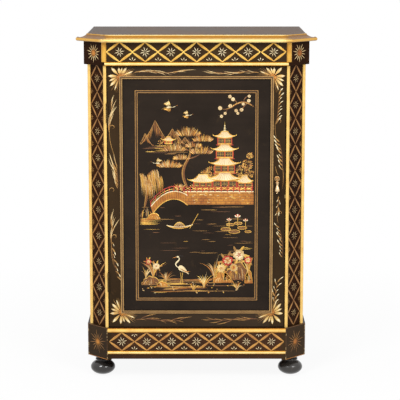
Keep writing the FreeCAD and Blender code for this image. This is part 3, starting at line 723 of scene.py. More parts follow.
def cook(recipe, name, face, body, *values):
    """Run a recipe with a value for each input, lay the result on a face and attach it to a body."""
    holder = put(name + "_holder", bpy.data.meshes.new(name + "_holder"))
    modifier = holder.modifiers.new("recipe", "NODES")
    modifier.node_group = recipe.tree
    for identifier, value in zip(recipe.inputs, values):
        modifier[identifier] = value
    evaluated = holder.evaluated_get(bpy.context.evaluated_depsgraph_get())
    mesh = bpy.data.meshes.new_from_object(evaluated)
    holder.modifiers.remove(modifier)
    bpy.data.objects.remove(holder)
    mesh.transform(face)
    attach(name, mesh, body)


print("class", Recipe.__name__)

# %% [markdown]
# ### A row of motifs
# The frieze, the plinth and the cut corners all carry the same thing: a row of diamonds, each with a small
# star. Mesh Line sets out the points, Instance on Points puts the motif on each, and a seeded Random Value
# turns and sizes each one a little, because no two painted by hand are the same.

# %% The recipe for a row
ROW_INPUTS = {"Motif": "Object", "Count": "Int", "Start": "Vector", "Step": "Vector", "Sway": "Vector"}
row = Recipe("motif_row", **ROW_INPUTS, Seed="Int", Finish="Material")
motif, count, start, step, sway, seed, finish = row.asked()
points = row.node("GeometryNodeMeshLine", mode="OFFSET", Count=count, Start_Location=start, Offset=step)
back = row.node("ShaderNodeVectorMath", operation="SCALE", Vector=sway, Scale=-1.0)
turn = row.node("FunctionNodeRandomValue", data_type="FLOAT_VECTOR", Min=back, Max=sway, Seed=seed)
row.set_out(motif, points, turn, row.chance(0.94, 1.06, seed), finish)

# %% [markdown]
# ## Lattice on the frieze and the plinth
# Seven diamonds fill the front of the frieze and of the plinth. Each is made of four strokes that swell in
# the middle, the way a brush swells when it is pressed. A star of eight cream petals sits in each diamond,
# and sprigs of three petals fill the triangles between them.

# %% Motifs for the lattice
LATTICE_PITCH, LATTICE_COUNT = 76.6, 7


def diamond(half_wide, half_high, width):
    """Four swelling strokes from point to point."""
    work = Brushwork()
    tips = [(half_wide, 0), (0, half_high), (-half_wide, 0), (0, -half_high)]
    for start, end in zip(tips, tips[1:] + tips[:1]):
        work.line(start, end, 8, width, "gold")
    return work


def rays(count, inner, outer, width, ink, first=0.0, spread=360.0, shape=petal, short=1.0):
    """Petals that stand round a point, every other one shortened by a share."""
    work = Brushwork()
    gaps = count if spread == 360.0 else count - 1
    for i in range(count):
        angle = first + spread * i / gaps
        reach = outer * (short if i % 2 else 1.0)
        work.line(toward((0, 0), angle, inner), toward((0, 0), angle, reach), 5, width, ink, 0, shape)
    return work


def motif_objects(**works):
    """Objects that hold motifs while a recipe reads them."""
    return {name: put(name, work.mesh(name)) for name, work in works.items()}


motifs = motif_objects(
    diamond=diamond(LATTICE_PITCH / 2 - 0.5, 28.0, 8.0),
    star=rays(8, 2.2, 15.0, 2.0, "cream", 22.5, shape=spindle, short=0.86),
    sprig=rays(3, 2.0, 12.0, 2.6, "cream", 38.0, 104.0),
    dart=rays(3, 2.0, 11.0, 2.5, "cream", 218.0, 104.0),
)
print("motifs", list(motifs))

# %% Set out the frieze and the plinth
plinth_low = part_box("plinth_front")[0]
frieze_middle = (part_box("frieze_bead")[1].z + frieze_high.z) / 2
plinth_middle = (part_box("plinth_lower_bead")[1].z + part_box("plinth_upper_bead")[0].z) / 2
frieze_face = face_of((0, frieze_low.y, frieze_middle))
plinth_face = face_of((0, plinth_low.y, plinth_middle))
row_left = -LATTICE_PITCH * (LATTICE_COUNT - 1) / 2
BANDS = [
    ("frieze_diamonds", frieze_face, "diamond", "gold", 0.0, 0.01, 3),
    ("frieze_stars", frieze_face, "star", "cream", 0.0, 0.16, 5),
    ("frieze_sprigs", frieze_face, "sprig", "cream", -27.5, 0.1, 7),
    ("plinth_diamonds", plinth_face, "diamond", "plinth_gold", 0.0, 0.01, 11),
    ("plinth_stars", plinth_face, "star", "cream", 0.0, 0.16, 13),
    ("plinth_sprigs", plinth_face, "sprig", "cream", -26.5, 0.1, 17),
    ("plinth_darts", plinth_face, "dart", "cream", 25.5, 0.1, 19),
]
for name, face, motif, ink, high, sway, seed in BANDS:
    between = int(motif in ("sprig", "dart"))
    start = (row_left + between * LATTICE_PITCH / 2, high, 0.0)
    set_out = (LATTICE_COUNT - between, start, (LATTICE_PITCH, 0.0, 0.0), (0, 0, sway), seed)
    cook(row, name, face, "case", motifs[motif], *set_out, INKS[ink])

# %% [markdown]
# ## Lattice on the cut corners
# The two upright faces that are cut at 45 degrees carry a tall lattice of thin brownish lines, with a small
# pale star in each diamond. It is the same recipe, stepping upwards. The corner blocks above and below carry
# one large star each, brighter on the frieze than on the plinth. Pale broken dashes run down the upright
# edges of the lower blocks.

# %% Set out the cut corners
CANT_COUNT, CANT_HALF = 10, 28.5
CANT_PLACE, CANT_SEED = (0.300, -0.139), 23
cant_low, cant_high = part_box("pilaster_beads_right")
cant_pitch = 1000 * (cant_high.z - cant_low.z) / CANT_COUNT
cant_motifs = motif_objects(
    cant_diamond=diamond(CANT_HALF, cant_pitch / 2, 6.4),
    cant_star=rays(8, 2.2, 12.5, 1.5, "cream", 22.5, shape=spindle),
    cant_dart_in=rays(4, 1.6, 10.0, 1.9, "cream", 120.0, 120.0, spindle),
    cant_dart_out=rays(4, 1.6, 10.0, 1.9, "cream", -60.0, 120.0, spindle),
)
CANT_ROWS = [
    ("cant_diamond", "cant_gold", 0, 0.0, 0.02),
    ("cant_star", "spray_pale", 0, 0.0, 0.2),
    ("cant_dart_in", "spray_gold", 1, CANT_HALF - 0.5, 0.2),
    ("cant_dart_out", "spray_gold", 1, 0.5 - CANT_HALF, 0.2),
]


def cant_face(sign, place, up):
    """The face of a cut corner, from the middle of its width at a height in metres."""
    return face_of((sign * place[0], place[1], up), (1, sign, 0))


for sign, side in SIDES:
    face = cant_face(sign, CANT_PLACE, cant_low.z)
    for motif, ink, between, across, sway in CANT_ROWS:
        start = (across, cant_pitch * (1.0 if between else 0.5), 0.0)
        set_out = (CANT_COUNT - between, start, (0.0, cant_pitch, 0.0), (0, 0, sway), CANT_SEED)
        cook(row, motif + "s_" + side, face, "case", cant_motifs[motif], *set_out, INKS[ink])

# %% Stars on the corner blocks
FRIEZE_BLOCK, FRIEZE_STAR_DROP = (0.3095, -0.14506), 0.005
PLINTH_BLOCK, BLOCK_LINE, BLOCK_EDGE = (0.30565, -0.14465), 44, 43.0
HEART_REACH, LINE_IN = 14.0, 1.4
EDGE_DASH_COUNT, EDGE_DASH_LEAST, EDGE_DASH_MOST, EDGE_DASH_SEED = 7, 3, 9, 71


def block_star(count, outer, width, ink, first, turn, short, heart):
    """A star of fine rays with a shorter amber star on its middle."""
    star = rays(count, 4.0, outer, width, ink, first, shape=spindle, short=short)
    for i in range(count):
        star.line((0, 0), toward((0, 0), first + turn * i, HEART_REACH), 4, heart, "amber", 2, lash)
    return star


block_low, block_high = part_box("plinth_block_right")
block_middle, block_half = (block_low.z + block_high.z) / 2, 500 * (block_high.z - block_low.z)
star_middle = frieze_middle - FRIEZE_STAR_DROP
for sign, side in SIDES:
    star = block_star(14, 29.0, 3.0, "spray_pale", 12.9, 25.7, 0.84, 2.6)
    star.done("frieze_block_star_" + side, cant_face(sign, FRIEZE_BLOCK, star_middle), "case")
    star = block_star(16, 37.0, 2.1, "cant_gold", 11.25, 22.5, 0.74, 1.9)
    for high, width, ink in ((block_half - LINE_IN, 1.6, "umber"), (LINE_IN - block_half, 1.8, "amber")):
        star.line((-BLOCK_LINE, high), (BLOCK_LINE, high), 8, width, ink, 0, even)
    # Pale broken dashes of random length along both upright edges of the block.
    edge_dashes = random.Random(EDGE_DASH_SEED)
    for edge in (-BLOCK_EDGE, BLOCK_EDGE):
        star.line((edge, -block_half), (edge, block_half), 8, 1.4, "umber", 0, even)
        for _ in range(EDGE_DASH_COUNT):
            low = edge_dashes.uniform(-block_half, block_half - EDGE_DASH_MOST)
            high = low + edge_dashes.uniform(EDGE_DASH_LEAST, EDGE_DASH_MOST)
            star.line((edge, low), (edge, high), 4, 1.8, "spray_pale", 1)
    star.done("plinth_block_star_" + side, cant_face(sign, PLINTH_BLOCK, block_middle), "case")
for holder in [*motifs.values(), *cant_motifs.values()]:
    bpy.data.objects.remove(holder)

# %% [markdown]
# ## Bursts at the corners of the door
# A fan of gold petals with cream tips springs from each corner of the gilt fillet and spreads over the door
# frame. One corner is drawn as a list of angles and lengths, and the other three are its mirror images:
# only the signs of the sheet's two axes change. Rays that rise are kept short of the edge of the door.

# %% Draw the bursts
BURST_PETALS = [(20, 44, 5.0), (50, 42, 8.6), (72, 30, 6.0), (94, 35, 9.2), (133, 40, 10.4), (178, 34, 10.4)]
BURST_PETALS += [(204, 34, 7.4), (226, 41, 9.8), (250, 45, 5.2)]
THIN_RAYS, THIN_REACH = (2, 8, 13, 24, 30, 37, 254, 260, 240), 50
RAIL_ROOM, DOOR_HALF, FILLET_IN = {1: 26.5, -1: 40.0}, 266, 1.0
fillet_low, fillet_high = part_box("door_fillet")
door_face = face_of((0, front_y, 0))
bursts = Brushwork()


def burst(across, up):
    """The fan in one corner; across and up are the signs of the corner."""
    x = across * 1000 * fillet_high.x - across * FILLET_IN
    y = 1000 * (fillet_high if up > 0 else fillet_low).z - up * FILLET_IN

    def reach(degrees, length):
        angle = math.radians(degrees)
        length = min(length, RAIL_ROOM[up] / max(math.sin(angle), 0.1))
        return -across * math.cos(angle) * length, up * math.sin(angle) * length

    for degrees, length, width in BURST_PETALS:
        aim = reach(degrees, length)
        half, most, tip = [(x + aim[0] * share, y + aim[1] * share) for share in (0.5, 0.94, 1.0)]
        bursts.line((x, y), tip, 8, width, "burst_gold", 0, petal)
        bursts.line(half, most, 5, width * 0.56, "cream", 2, petal)
        bursts.line((x, y), half, 4, 2.2, "amber", 4, lash)
    for degrees in THIN_RAYS:
        aim = reach(degrees, THIN_REACH)
        if abs(x + aim[0]) < DOOR_HALF:
            bursts.line((x, y), (x + aim[0], y + aim[1]), 6, 1.4, "spray_gold")


for across in (-1, 1):
    for up in (-1, 1):
        burst(across, up)
bursts.done("corner_bursts", door_face, "door")

# %% [markdown]
# ## Sprays along the door frame
# Between the bursts run loose sprays of leaves, dull gold with pale tips: long blades in one place, short
# feathered leaves in another. They follow a path, so a second recipe does it. The path becomes a curve,
# points are set out along it, and each point carries a leaf that leans off the path, with some seeded
# chance in it. With two sides the leaves lean left and right in turn, with one they all lean the same way.

# %% The recipe for a spray
SPRAY_INPUTS = {"Path": "Object", "Leaf": "Object", "Count": "Int", "Sides": "Float", "Lean": "Float"}
spray = Recipe("leaf_spray", **SPRAY_INPUTS, Seed="Int", Finish="Material")
path, leaf, count, sides, lean, seed, finish = spray.asked()
path = spray.node("GeometryNodeMeshToCurve", Mesh=spray.shape_of(path))
points = spray.node("GeometryNodeCurveToPoints", mode="COUNT", Curve=path, Count=count)
aim = spray.node("ShaderNodeSeparateXYZ", points.of("Tangent"))
side = spray.node("GeometryNodeInputIndex").math("MODULO", sides) * 2.0 - 1.0
angle = aim.of("Y").math("ARCTAN2", aim.of("X")) + side * lean + spray.chance(-0.12, 0.12, seed)
turn = spray.node("ShaderNodeCombineXYZ", Z=angle)
spray.set_out(leaf, points.of("Points"), turn, spray.chance(0.6, 1.15, seed + 1), finish)

# %% Leaves for the sprays
LIT_FROM, LIT_WIDTH = 3, 0.7


def wavy(start, end, swing, waves, count=24):
    """Points from start to end that swing from side to side."""
    line = Vector((end[0] - start[0], end[1] - start[1]))
    side = Vector((-line.y, line.x)).normalized()
    points = []
    for t in [i / count for i in range(count + 1)]:
        off = swing * math.sin(2 * math.pi * waves * t)
        points.append((start[0] + line.x * t + side.x * off, start[1] + line.y * t + side.y * off))
    return points


def blade(name, pull, tip, width, light_shape, *inks):
    """A leaf and, in a second object, the pale light on its outer half, each with its ink."""
    leaf, light = Brushwork(), Brushwork()
    route = bend((0, 0), pull, tip, 8)
    leaf.stroke(route, width, "gold", 0, lash)
    light.stroke(route[LIT_FROM:], width * LIT_WIDTH, "cream", 2, light_shape)
    parts = (("leaf", leaf), ("tip", light))
    return [(part, put(name + "_" + part, work.mesh(name)), ink) for (part, work), ink in zip(parts, inks)]


BLADES = {
    "rail": blade("rail", (23, 7.0), (50, 0.5), 2.7, lash, "spray_gold", "spray_pale"),
    "low_rail": blade("low_rail", (23, 7.0), (50, 0.5), 2.7, lash, "umber", "spray_gold"),
    "long": blade("long", (24, 7.0), (55, 2.5), 3.4, lash, "spray_gold", "spray_pale"),
    "fern": blade("fern", (13, 3.0), (25, -1.0), 4.2, petal, "spray_gold", "cream"),
}


def lay_spray(name, kind, route, face, body, count, sides, lean, seed):
    """Leaves and tips of one kind along a route; the name has a gap for the part."""
    line = bpy.data.meshes.new("path")
    line.from_pydata([(x, y, 0) for x, y in route], [(i, i + 1) for i in range(len(route) - 1)], [])
    path = put("path", line)
    for part, leaf, ink in BLADES[kind]:
        cook(spray, name % part, face, body, path, leaf, count, float(sides), lean, seed, INKS[ink])
    bpy.data.objects.remove(path)


print("blades", list(BLADES))

# %% Set out the sprays
SPRAYS = [
    ("top_rail_left", "rail", (-188, 947), (-52, 948), 2.0, 11, 2, 0.07),
    ("top_rail_right", "rail", (188, 948), (52, 949), -2.0, 11, 2, 0.07),
    ("bottom_rail_left", "low_rail", (-188, 186), (-52, 184), 3.0, 10, 2, 0.14),
    ("bottom_rail_right", "low_rail", (188, 189), (52, 188), -3.0, 10, 2, 0.14),
    ("left_high", "long", (-262, 764), (-257, 846), 2.0, 12, 1, 0.27),
    ("left_middle", "long", (-238, 594), (-239, 662), -1.0, 12, 1, -0.3),
    ("left_low", "long", (-259, 420), (-260, 484), 2.0, 9, 1, 0.26),
    ("left_foot", "fern", (-259, 430), (-243, 322), -3.0, 7, 1, -0.4),
    ("right_high", "fern", (239, 792), (247, 880), -2.0, 9, 1, 0.55),
    ("right_over_pull", "fern", (260, 652), (250, 738), -3.0, 8, 1, -0.6),
    ("right_under_pull", "fern", (249, 572), (246, 528), 1.0, 5, 2, 0.3),
    ("right_middle", "fern", (262, 382), (252, 474), -4.0, 9, 1, -0.55),
    ("right_low", "fern", (239, 232), (248, 304), 2.0, 9, 2, 0.5),
]
STEMS = [
    ((-262, 780), (-266, 740), (-246, 690)),
    ((-258, 430), (-264, 400), (-252, 352)),
    ((238, 800), (234, 776), (240, 752)),
    ((260, 594), (266, 640), (258, 668)),
    ((238, 664), (240, 648), (247, 636)),
    ((246, 530), (243, 508), (248, 488)),
]
CURLS = [(-253, 782, 8), (-256, 590, 9), (-250, 446, 8), (248, 800, 9), (254, 520, 6)]
CURL_START, CURL_STEP, CURL_STEPS, CURL_CLOSE = 200, 28, 11, 0.05
FIRST_SEED, SEED_STEP = 31, 2
stems = Brushwork()
for start, pull, end in STEMS:
    stems.curve(start, pull, end, 7, 1.8, "spray_gold")
for x, y, radius in CURLS:
    turns = [CURL_START - CURL_STEP * i for i in range(CURL_STEPS)]
    hook = [toward((x, y), turn, radius * (1 - CURL_CLOSE * i)) for i, turn in enumerate(turns)]
    stems.stroke(hook, 1.6, "spray_gold")
for i, (name, kind, start, end, swing, count, sides, lean) in enumerate(SPRAYS):
    route = wavy(start, end, swing, 0.5 if kind == "fern" else 1.0)
    stems.stroke(route, 1.8, "umber")
    seed = FIRST_SEED + SEED_STEP * i
    lay_spray(name + "_%s", kind, route, door_face, "door", count, sides, lean, seed)
stems.done("spray_stems", door_face, "door")

# %% [markdown]
# ## Turned feet
# Four flattened balls on short necks, turned on a lathe and ebonised. The CAD model keeps them to a few
# plain zones; here a finer profile is spun round, with a full round belly, a groove and a small collar
# under the plinth. The new feet stand exactly where the plain ones do and take their place.

# %% Spin the feet


def lathe(profile, count):
    """Points and faces of a profile of radius and height spun round the upright axis."""
    points, faces, rings = [], [], []
    turns = [2 * math.pi * i / count for i in range(count)]
    for radius, height in profile:
        first = len(points)
        if radius == 0:
            rings.append([first] * count)
            points.append((0.0, 0.0, height))
        else:
            rings.append(list(range(first, first + count)))
            points += [(radius * math.cos(t), radius * math.sin(t), height) for t in turns]
    for low, high in zip(rings, rings[1:]):
        for i in range(count):
            j = (i + 1) % count
            faces.append(list(dict.fromkeys([low[i], low[j], high[j], high[i]])))
    return points, faces


def spun(name, profile, count, places):
    """A mesh of one spun profile, in millimetres, repeated under a list of matrices."""
    mesh = bpy.data.meshes.new(name)
    points, faces = [], []
    one_points, one_faces = lathe(profile, count)
    for place in places:
        faces += [[len(points) + i for i in face] for face in one_faces]
        points += [place @ Vector(point) for point in one_points]
    mesh.from_pydata(points, [], faces)
    mesh.polygons.foreach_set("use_smooth", [True] * len(faces))
    return mesh


def rounded(centre_radius, centre_height, wide, high, start, end, count):
    """Points of a profile on an ellipse, from one angle to another."""
    angles = [math.radians(start + (end - start) * i / count) for i in range(count + 1)]
    return [(centre_radius + wide * math.cos(a), centre_height + high * math.sin(a)) for a in angles]


def standing(*place):
    """A matrix from millimetres to metres at a place."""
    return Matrix.Translation(place) @ Matrix.Scale(MM, 4)


FOOT_PROFILE = [(0, 0), (9, 0), *rounded(0, 23.5, 38, 23.5, -74, 61, 30), (18.0, 45.6), (19.0, 46.4)]
FOOT_PROFILE += [*rounded(19.5, 49, 3.6, 2.4, -90, 90, 8), (21.0, 52.0), (22.0, 56), (25.5, 60), (0, 60)]
FOOT_PLACES = [standing(x, y, 0) for x in (-0.292, 0.292) for y in (-0.117, 0.143)]
FOOT_STEPS = 56
feet_mesh = spun("turned_feet", FOOT_PROFILE, FOOT_STEPS, FOOT_PLACES)
feet_piece = attach("turned_feet", feet_mesh, "case")
dress(feet_piece, "ebonised_feet")
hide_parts("feet")

# %% [markdown]
# ## The drop pull
# A cast brass pear hangs from a small rosette on the right stile. The pear is turned: a ring on top, two
# beads, a thin neck and a long belly that swells towards the bottom. It hangs on its own body, so it
# swings on the cross pin. A turned rim dresses the edge of the rosette.

# %% Spin the pear and the rim
pull_low, pull_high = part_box("pull_drop")
PULL_X = (pull_low.x + pull_high.x) / 2
PULL_Y, PULL_Z = -0.180, 0.625
PEAR_PROFILE = [(0, -43.5), *rounded(0, -41.6, 3.2, 1.9, -70, 40, 6), (2.0, -40.0)]
PEAR_PROFILE += [*rounded(0, -34.2, 7.5, 5.4, -78, 8, 9), (7.15, -31.6), (6.3, -28.4), (5.1, -24.6)]
PEAR_PROFILE += [(3.9, -20.8), (3.0, -17.4), (2.6, -15.0), *rounded(2.6, -13.9, 1.3, 0.9, -90, 90, 5)]
PEAR_PROFILE += [(2.5, -12.8), *rounded(2.6, -10.4, 3.4, 2.2, -90, 90, 8), (2.4, -8.1)]
PEAR_PROFILE += [*rounded(2.4, -7.2, 1.7, 0.8, -90, 90, 5), (2.2, -6.2), (0, -6.0)]
THROAT_PROFILE = [(0, -6.6), (1.5, -6.6), (1.2, -3.4), (0, -3.4)]
EYE_RADIUS, EYE_TUBE, EYE_FLAT = 2.6, 1.0, 0.9
PEAR_STEPS, THROAT_STEPS, EYE_STEPS, TUBE_STEPS, RIM_STEPS = 32, 12, 20, 10, 36
pear_place = standing(PULL_X, PULL_Y, PULL_Z)
pear_mesh = spun("pear", PEAR_PROFILE, PEAR_STEPS, [pear_place])
pear = bmesh.new()
pear.from_mesh(pear_mesh)


def add_faces(points, faces):
    """More of the pear, from points in millimetres."""
    made = [pear.verts.new(pear_place @ Vector(point)) for point in points]
    for corners in faces:
        pear.faces.new([made[i] for i in corners]).smooth = True


eye, eye_faces = [], []
for i in range(EYE_STEPS):
    around, k = 2 * math.pi * i / EYE_STEPS, (i + 1) % EYE_STEPS
    for j in range(TUBE_STEPS):
        tube, m = 2 * math.pi * j / TUBE_STEPS, (j + 1) % TUBE_STEPS
        reach = EYE_RADIUS + EYE_TUBE * math.cos(tube)
        eye.append((EYE_TUBE * EYE_FLAT * math.sin(tube), reach * math.cos(around), reach * math.sin(around)))
        eye_faces.append([TUBE_STEPS * a + b for a, b in ((i, j), (k, j), (k, m), (i, m))])
add_faces(eye, eye_faces)
add_faces(*lathe(THROAT_PROFILE, THROAT_STEPS))
bmesh.ops.recalc_face_normals(pear, faces=pear.faces)
pear.to_mesh(pear_mesh)
pear.free()
pear_piece = attach("pear_drop", pear_mesh, "drop")
dress(pear_piece, "pull_brass")
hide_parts("pull_drop")

RIM_PROFILE = [(6.2, 0.1), *rounded(7.0, 1.2, 1.3, 1.2, -80, 100, 8), (5.6, 2.6), (5.2, 2.1), (4.4, 2.1)]
rim_turn = Matrix.Rotation(math.radians(90), 4, "X")
rim_place = Matrix.Translation((PULL_X, front_y, PULL_Z)) @ rim_turn @ Matrix.Scale(MM, 4)
rim_mesh = spun("rosette_rim", RIM_PROFILE, RIM_STEPS, [rim_place])
rim_piece = attach("rosette_rim", rim_mesh, "door")
dress(rim_piece, "old_brass")
print("pull hangs at", round(PULL_X, 4), PULL_Y, PULL_Z)

# %% [markdown]
# ## The landscape on the door
# The panel carries a painted garden in the export style: buildings, trees, water and birds in gold on
# black. The picture here is an invented one, put together from stock motifs of that style: a tiered tower
# on a terrace, a pine, a hump bridge, rocks, reeds and waterbirds. Every motif is a small function
# that draws strokes and patches, so it can be used again at another size, and a seeded random hand keeps
# the strokes uneven in the same way on every run.

# %% Open the sheet for the picture
PICTURE_WIDE, PICTURE_HIGH, PICTURE_FOOT, MARGIN = 354.0, 630.0, 0.255, 2.0
WINDOW = (MARGIN, MARGIN, PICTURE_WIDE - MARGIN, PICTURE_HIGH - MARGIN)
picture_face = face_of((-PICTURE_WIDE * MM / 2, panel_y, PICTURE_FOOT))
PICTURE_SEED, PICTURE_LEFT, WATER_RIGHT, BANK_RIGHT = 1871, 4, 348, 346
picture = Brushwork(WINDOW)
hand = random.Random(PICTURE_SEED)


def about(amount):
    """A small chance either way."""
    return hand.uniform(-amount, amount)


def any_of(inks):
    """One of a few inks by chance."""
    return hand.choice(inks.split())


def dash(u, v, lengths, drift, count, widths, inks, layer, most=PICTURE_WIDE):
    """A nearly level stroke with some chance in its length, end, width and ink."""
    end = (min(u + hand.uniform(*lengths), most), v + about(drift))
    picture.line((u, v), end, count, hand.uniform(*widths), any_of(inks), layer)


def bar(*look):
    """A straight stroke of one width."""
    picture.line(*look, even)


def boughs(width, layer, *routes):
    """Bent twigs of umber."""
    for start, pull, end in routes:
        picture.curve(start, pull, end, 6, width, "umber", layer, lash)


print("picture field", PICTURE_WIDE, "by", PICTURE_HIGH, "mm")

# %% Motifs: roofs and walls


def roof(x, y, half, high, layer):
    """A cream roof with turned up corners, gold hips and fine tile lines."""
    left, right = (x - half, y + 0.34 * high), (x + half, y + 0.34 * high)
    ridge = 0.3 * half
    eave = bend(left, (x, y - 0.3 * high), right, 12)
    hip_right = bend(right, (x + 0.45 * half, y + 0.3 * high), (x + ridge, y + high), 6)
    hip_left = bend((x - ridge, y + high), (x - 0.45 * half, y + 0.3 * high), left, 6)
    picture.patch(eave + hip_right[1:] + hip_left[:-1], "cream", layer)
    for i in range(1, 12):
        top = (x - ridge + 2 * ridge * i / 12, y + 0.96 * high)
        bar(top, eave[i], 3, 0.8, "amber", layer + 1)
    for edge in (eave, hip_right, hip_left, straight(hip_left[0], hip_right[-1], 3)):
        picture.stroke(edge, 2.2, "gold", layer + 1, even)
    for (u, v), way in ((left, -1), (right, 1)):
        picture.curve((u, v), (u + way * 4, v), (u + way * 5.5, v + 6), 4, 2.2, "gold", layer + 1, lash)


def storey(x, y, half, high, bays, layer):
    """A wall with red posts and dark barred openings."""
    picture.patch([(x - half, y), (x + half, y), (x + half, y + high), (x - half, y + high)], "amber", layer)
    step, low, top = 2 * half / bays, y + 0.3 * high, y + 0.84 * high
    for bay in range(bays):
        left, right = x - half + bay * step + 2.6, x - half + (bay + 1) * step - 2.6
        picture.patch([(left, low), (right, low), (right, top), (left, top)], "dark", layer + 1)
        for i in range(1, 4):
            across = left + (right - left) * i / 4
            bar((across, low), (across, top), 2, 0.9, "gold", layer + 2)
        bar((left, (low + top) / 2), (right, (low + top) / 2), 2, 0.9, "gold", layer + 2)
    for post in range(bays + 1):
        across = x - half + post * step
        bar((across, y), (across, y + high), 3, 2.6, "red", layer + 2)
    for up in (0.02, 0.2, 0.97):
        bar((x - half, y + up * high), (x + half, y + up * high), 4, 1.5, "gold", layer + 3)


def tower(x, y, tiers, half, high, layer):
    """A tiered tower that narrows upwards and ends in a spire of rings."""
    for tier in range(tiers):
        storey(x, y, half, high, 3 if tier < 2 else 2, layer)
        bar((x - half - 5, y + 1.2), (x + half + 5, y + 1.2), 4, 2.0, "red", layer + 4)
        roof(x, y + high * 0.92, half + 16 - 2 * tier, high * 0.84, layer + 5)
        y, half, high = y + high * 1.62, half * 0.84, high * 0.93
    picture.line((x, y), (x, y + 34), 5, 2.4, "gold", layer + 7, lash)
    for i in range(4):
        wide, up = 4.6 - 0.9 * i, y + 6 + 5 * i
        picture.line((x - wide, up), (x + wide, up), 4, 2.4, "cream", layer + 8)


print("motifs", [motif.__name__ for motif in (roof, storey, tower)])

# %% Motifs: trees, rocks and plants


def needles(x, y, half, high, count, layer):
    """A flat cloud of pine needles that stand in a fan on its base line."""
    for _ in range(count):
        t = about(1.0)
        root = (x + t * half * 0.82, y + about(1.6))
        tip = toward(root, 90 - 52 * t + about(12), high * (1.1 - 0.55 * t * t) * hand.uniform(0.55, 1.05))
        pull = ((root[0] + tip[0]) / 2 + 2.5 * t, (root[1] + tip[1]) / 2 + 1.5)
        ink = any_of("amber amber gold umber umber spray_gold spray_pale")
        picture.curve(root, pull, tip, 4, hand.uniform(1.3, 2.2), ink, layer + hand.randrange(3), lash)


def trunk(path, width, layer):
    """A stem of umber with a gold edge and an amber one."""
    for share, wide, ink, over in ((0, width, "umber", 0), (-0.22, 1.3, "gold", 2), (0.2, 0.9, "amber", 2)):
        picture.stroke([(x + share * width, y) for x, y in path], wide, ink, layer + over, lash)


def rock(x, y, half, high, layer, ink="umber"):
    """A boulder: a flat of colour, gold rim and slanting strokes that model it."""
    border = []
    for i in range(15):
        a = math.pi * i / 14
        swell = 1 + about(0.14)
        border.append((x + half * math.cos(a) * swell, y + high * max(0.02, math.sin(a)) * swell))
    picture.patch(border, ink, layer)
    for i in range(int(half * 0.7)):
        t = about(0.85)
        foot = (x + t * half, y + 0.8)
        head = (x + t * half * 0.55 + about(3), y + high * (0.9 - 0.7 * t * t) * hand.uniform(0.5, 1))
        pull, touch = (foot[0] + t * 3, head[1]), any_of("amber gold umber spray_pale")
        picture.curve(foot, pull, head, 4, hand.uniform(1.0, 2.2), touch, layer + 1, lash)
    picture.stroke(border, 2.0, "gold", layer + 2)


def grass(x, y, count, high, spread, layer):
    """Blades that arch away from one root."""
    for i in range(count):
        lean = spread * (2 * (i + 0.5) / count - 1) + about(5)
        tip = toward((x, y), 90 - lean, high * hand.uniform(0.6, 1.05))
        pull = toward((x, y), 90 - lean * 0.35, high * 0.6)
        root, width = (x + about(2), y), hand.uniform(1.5, 2.8)
        ink = any_of("gold spray_gold spray_pale amber")
        picture.curve(root, pull, tip, 5, width, ink, layer + i % 2, lash)


def blossom(x, y, radius, inks, layer):
    """A full flower in three rings of petals."""
    for ring, (ink, count, share) in enumerate(zip(inks.split(), (9, 7, 5), (1.0, 0.68, 0.4))):
        for i in range(count):
            angle = 360 * i / count + 20 * ring + about(7)
            start, end = toward((x, y), angle, radius * share * 0.12), toward((x, y), angle, radius * share)
            picture.line(start, end, 4, radius * share * 0.66, ink, layer + 2 * ring, petal)


def leafy(x, y, radius, count, layer):
    """A bush of short leaves that point outwards from its middle."""
    for _ in range(count):
        angle, reach = hand.uniform(0, 360), radius * math.sqrt(hand.random())
        spot = toward((x, y), angle, reach)
        tip, ink = toward(spot, angle + about(25), radius * 0.32), any_of("amber gold umber spray_gold")
        picture.line(spot, tip, 3, radius * 0.1 + 0.8, ink, layer + hand.randrange(2), lash)


print("motifs", [motif.__name__ for motif in (needles, trunk, rock, grass, blossom, leafy)])

# %% Motifs: birds


def bird_at(x, y, size, way):
    """A function from a bird's own measures to the sheet. Way is 1 or -1."""
    return lambda across, up: (x + way * across * size, y + up * size)


def flying_crane(x, y, size, way, layer):
    """A crane in flight: long neck, two fanned wings and trailing legs."""
    at = bird_at(x, y, size, way)
    picture.curve(at(-10, -1), at(-2, 3), at(8, 1), 6, 5.4 * size, "cream", layer, lash)
    picture.curve(at(7, 1), at(14, 1.5), at(20, 6), 5, 1.8 * size, "cream", layer + 1, lash)
    picture.line(at(19.5, 5.6), at(25, 7.2), 3, 1.1 * size, "amber", layer + 1, lash)
    for i in range(7):
        near, high, low = at(3 - 1.7 * i, 2), at(-4 - 2.4 * i, 22 - 1.7 * i), at(-1 - 3.0 * i, -13 + 1.3 * i)
        inks = ("cream", "gold") if i % 2 else ("gold", "amber")
        picture.curve(near, at(2 - 2.0 * i, 12), high, 5, 2.2 * size, inks[0], layer + 1, petal)
        picture.curve(near, at(4 - 2.2 * i, -6), low, 5, 2.0 * size, inks[1], layer + 1, petal)
    for gap in (-0.9, 0.9):
        hip, pull, toe = at(-9, -1 + gap), at(-17, -2 + gap), at(-24, -4 + gap)
        picture.curve(hip, pull, toe, 4, 0.9 * size, "gold", layer, lash)


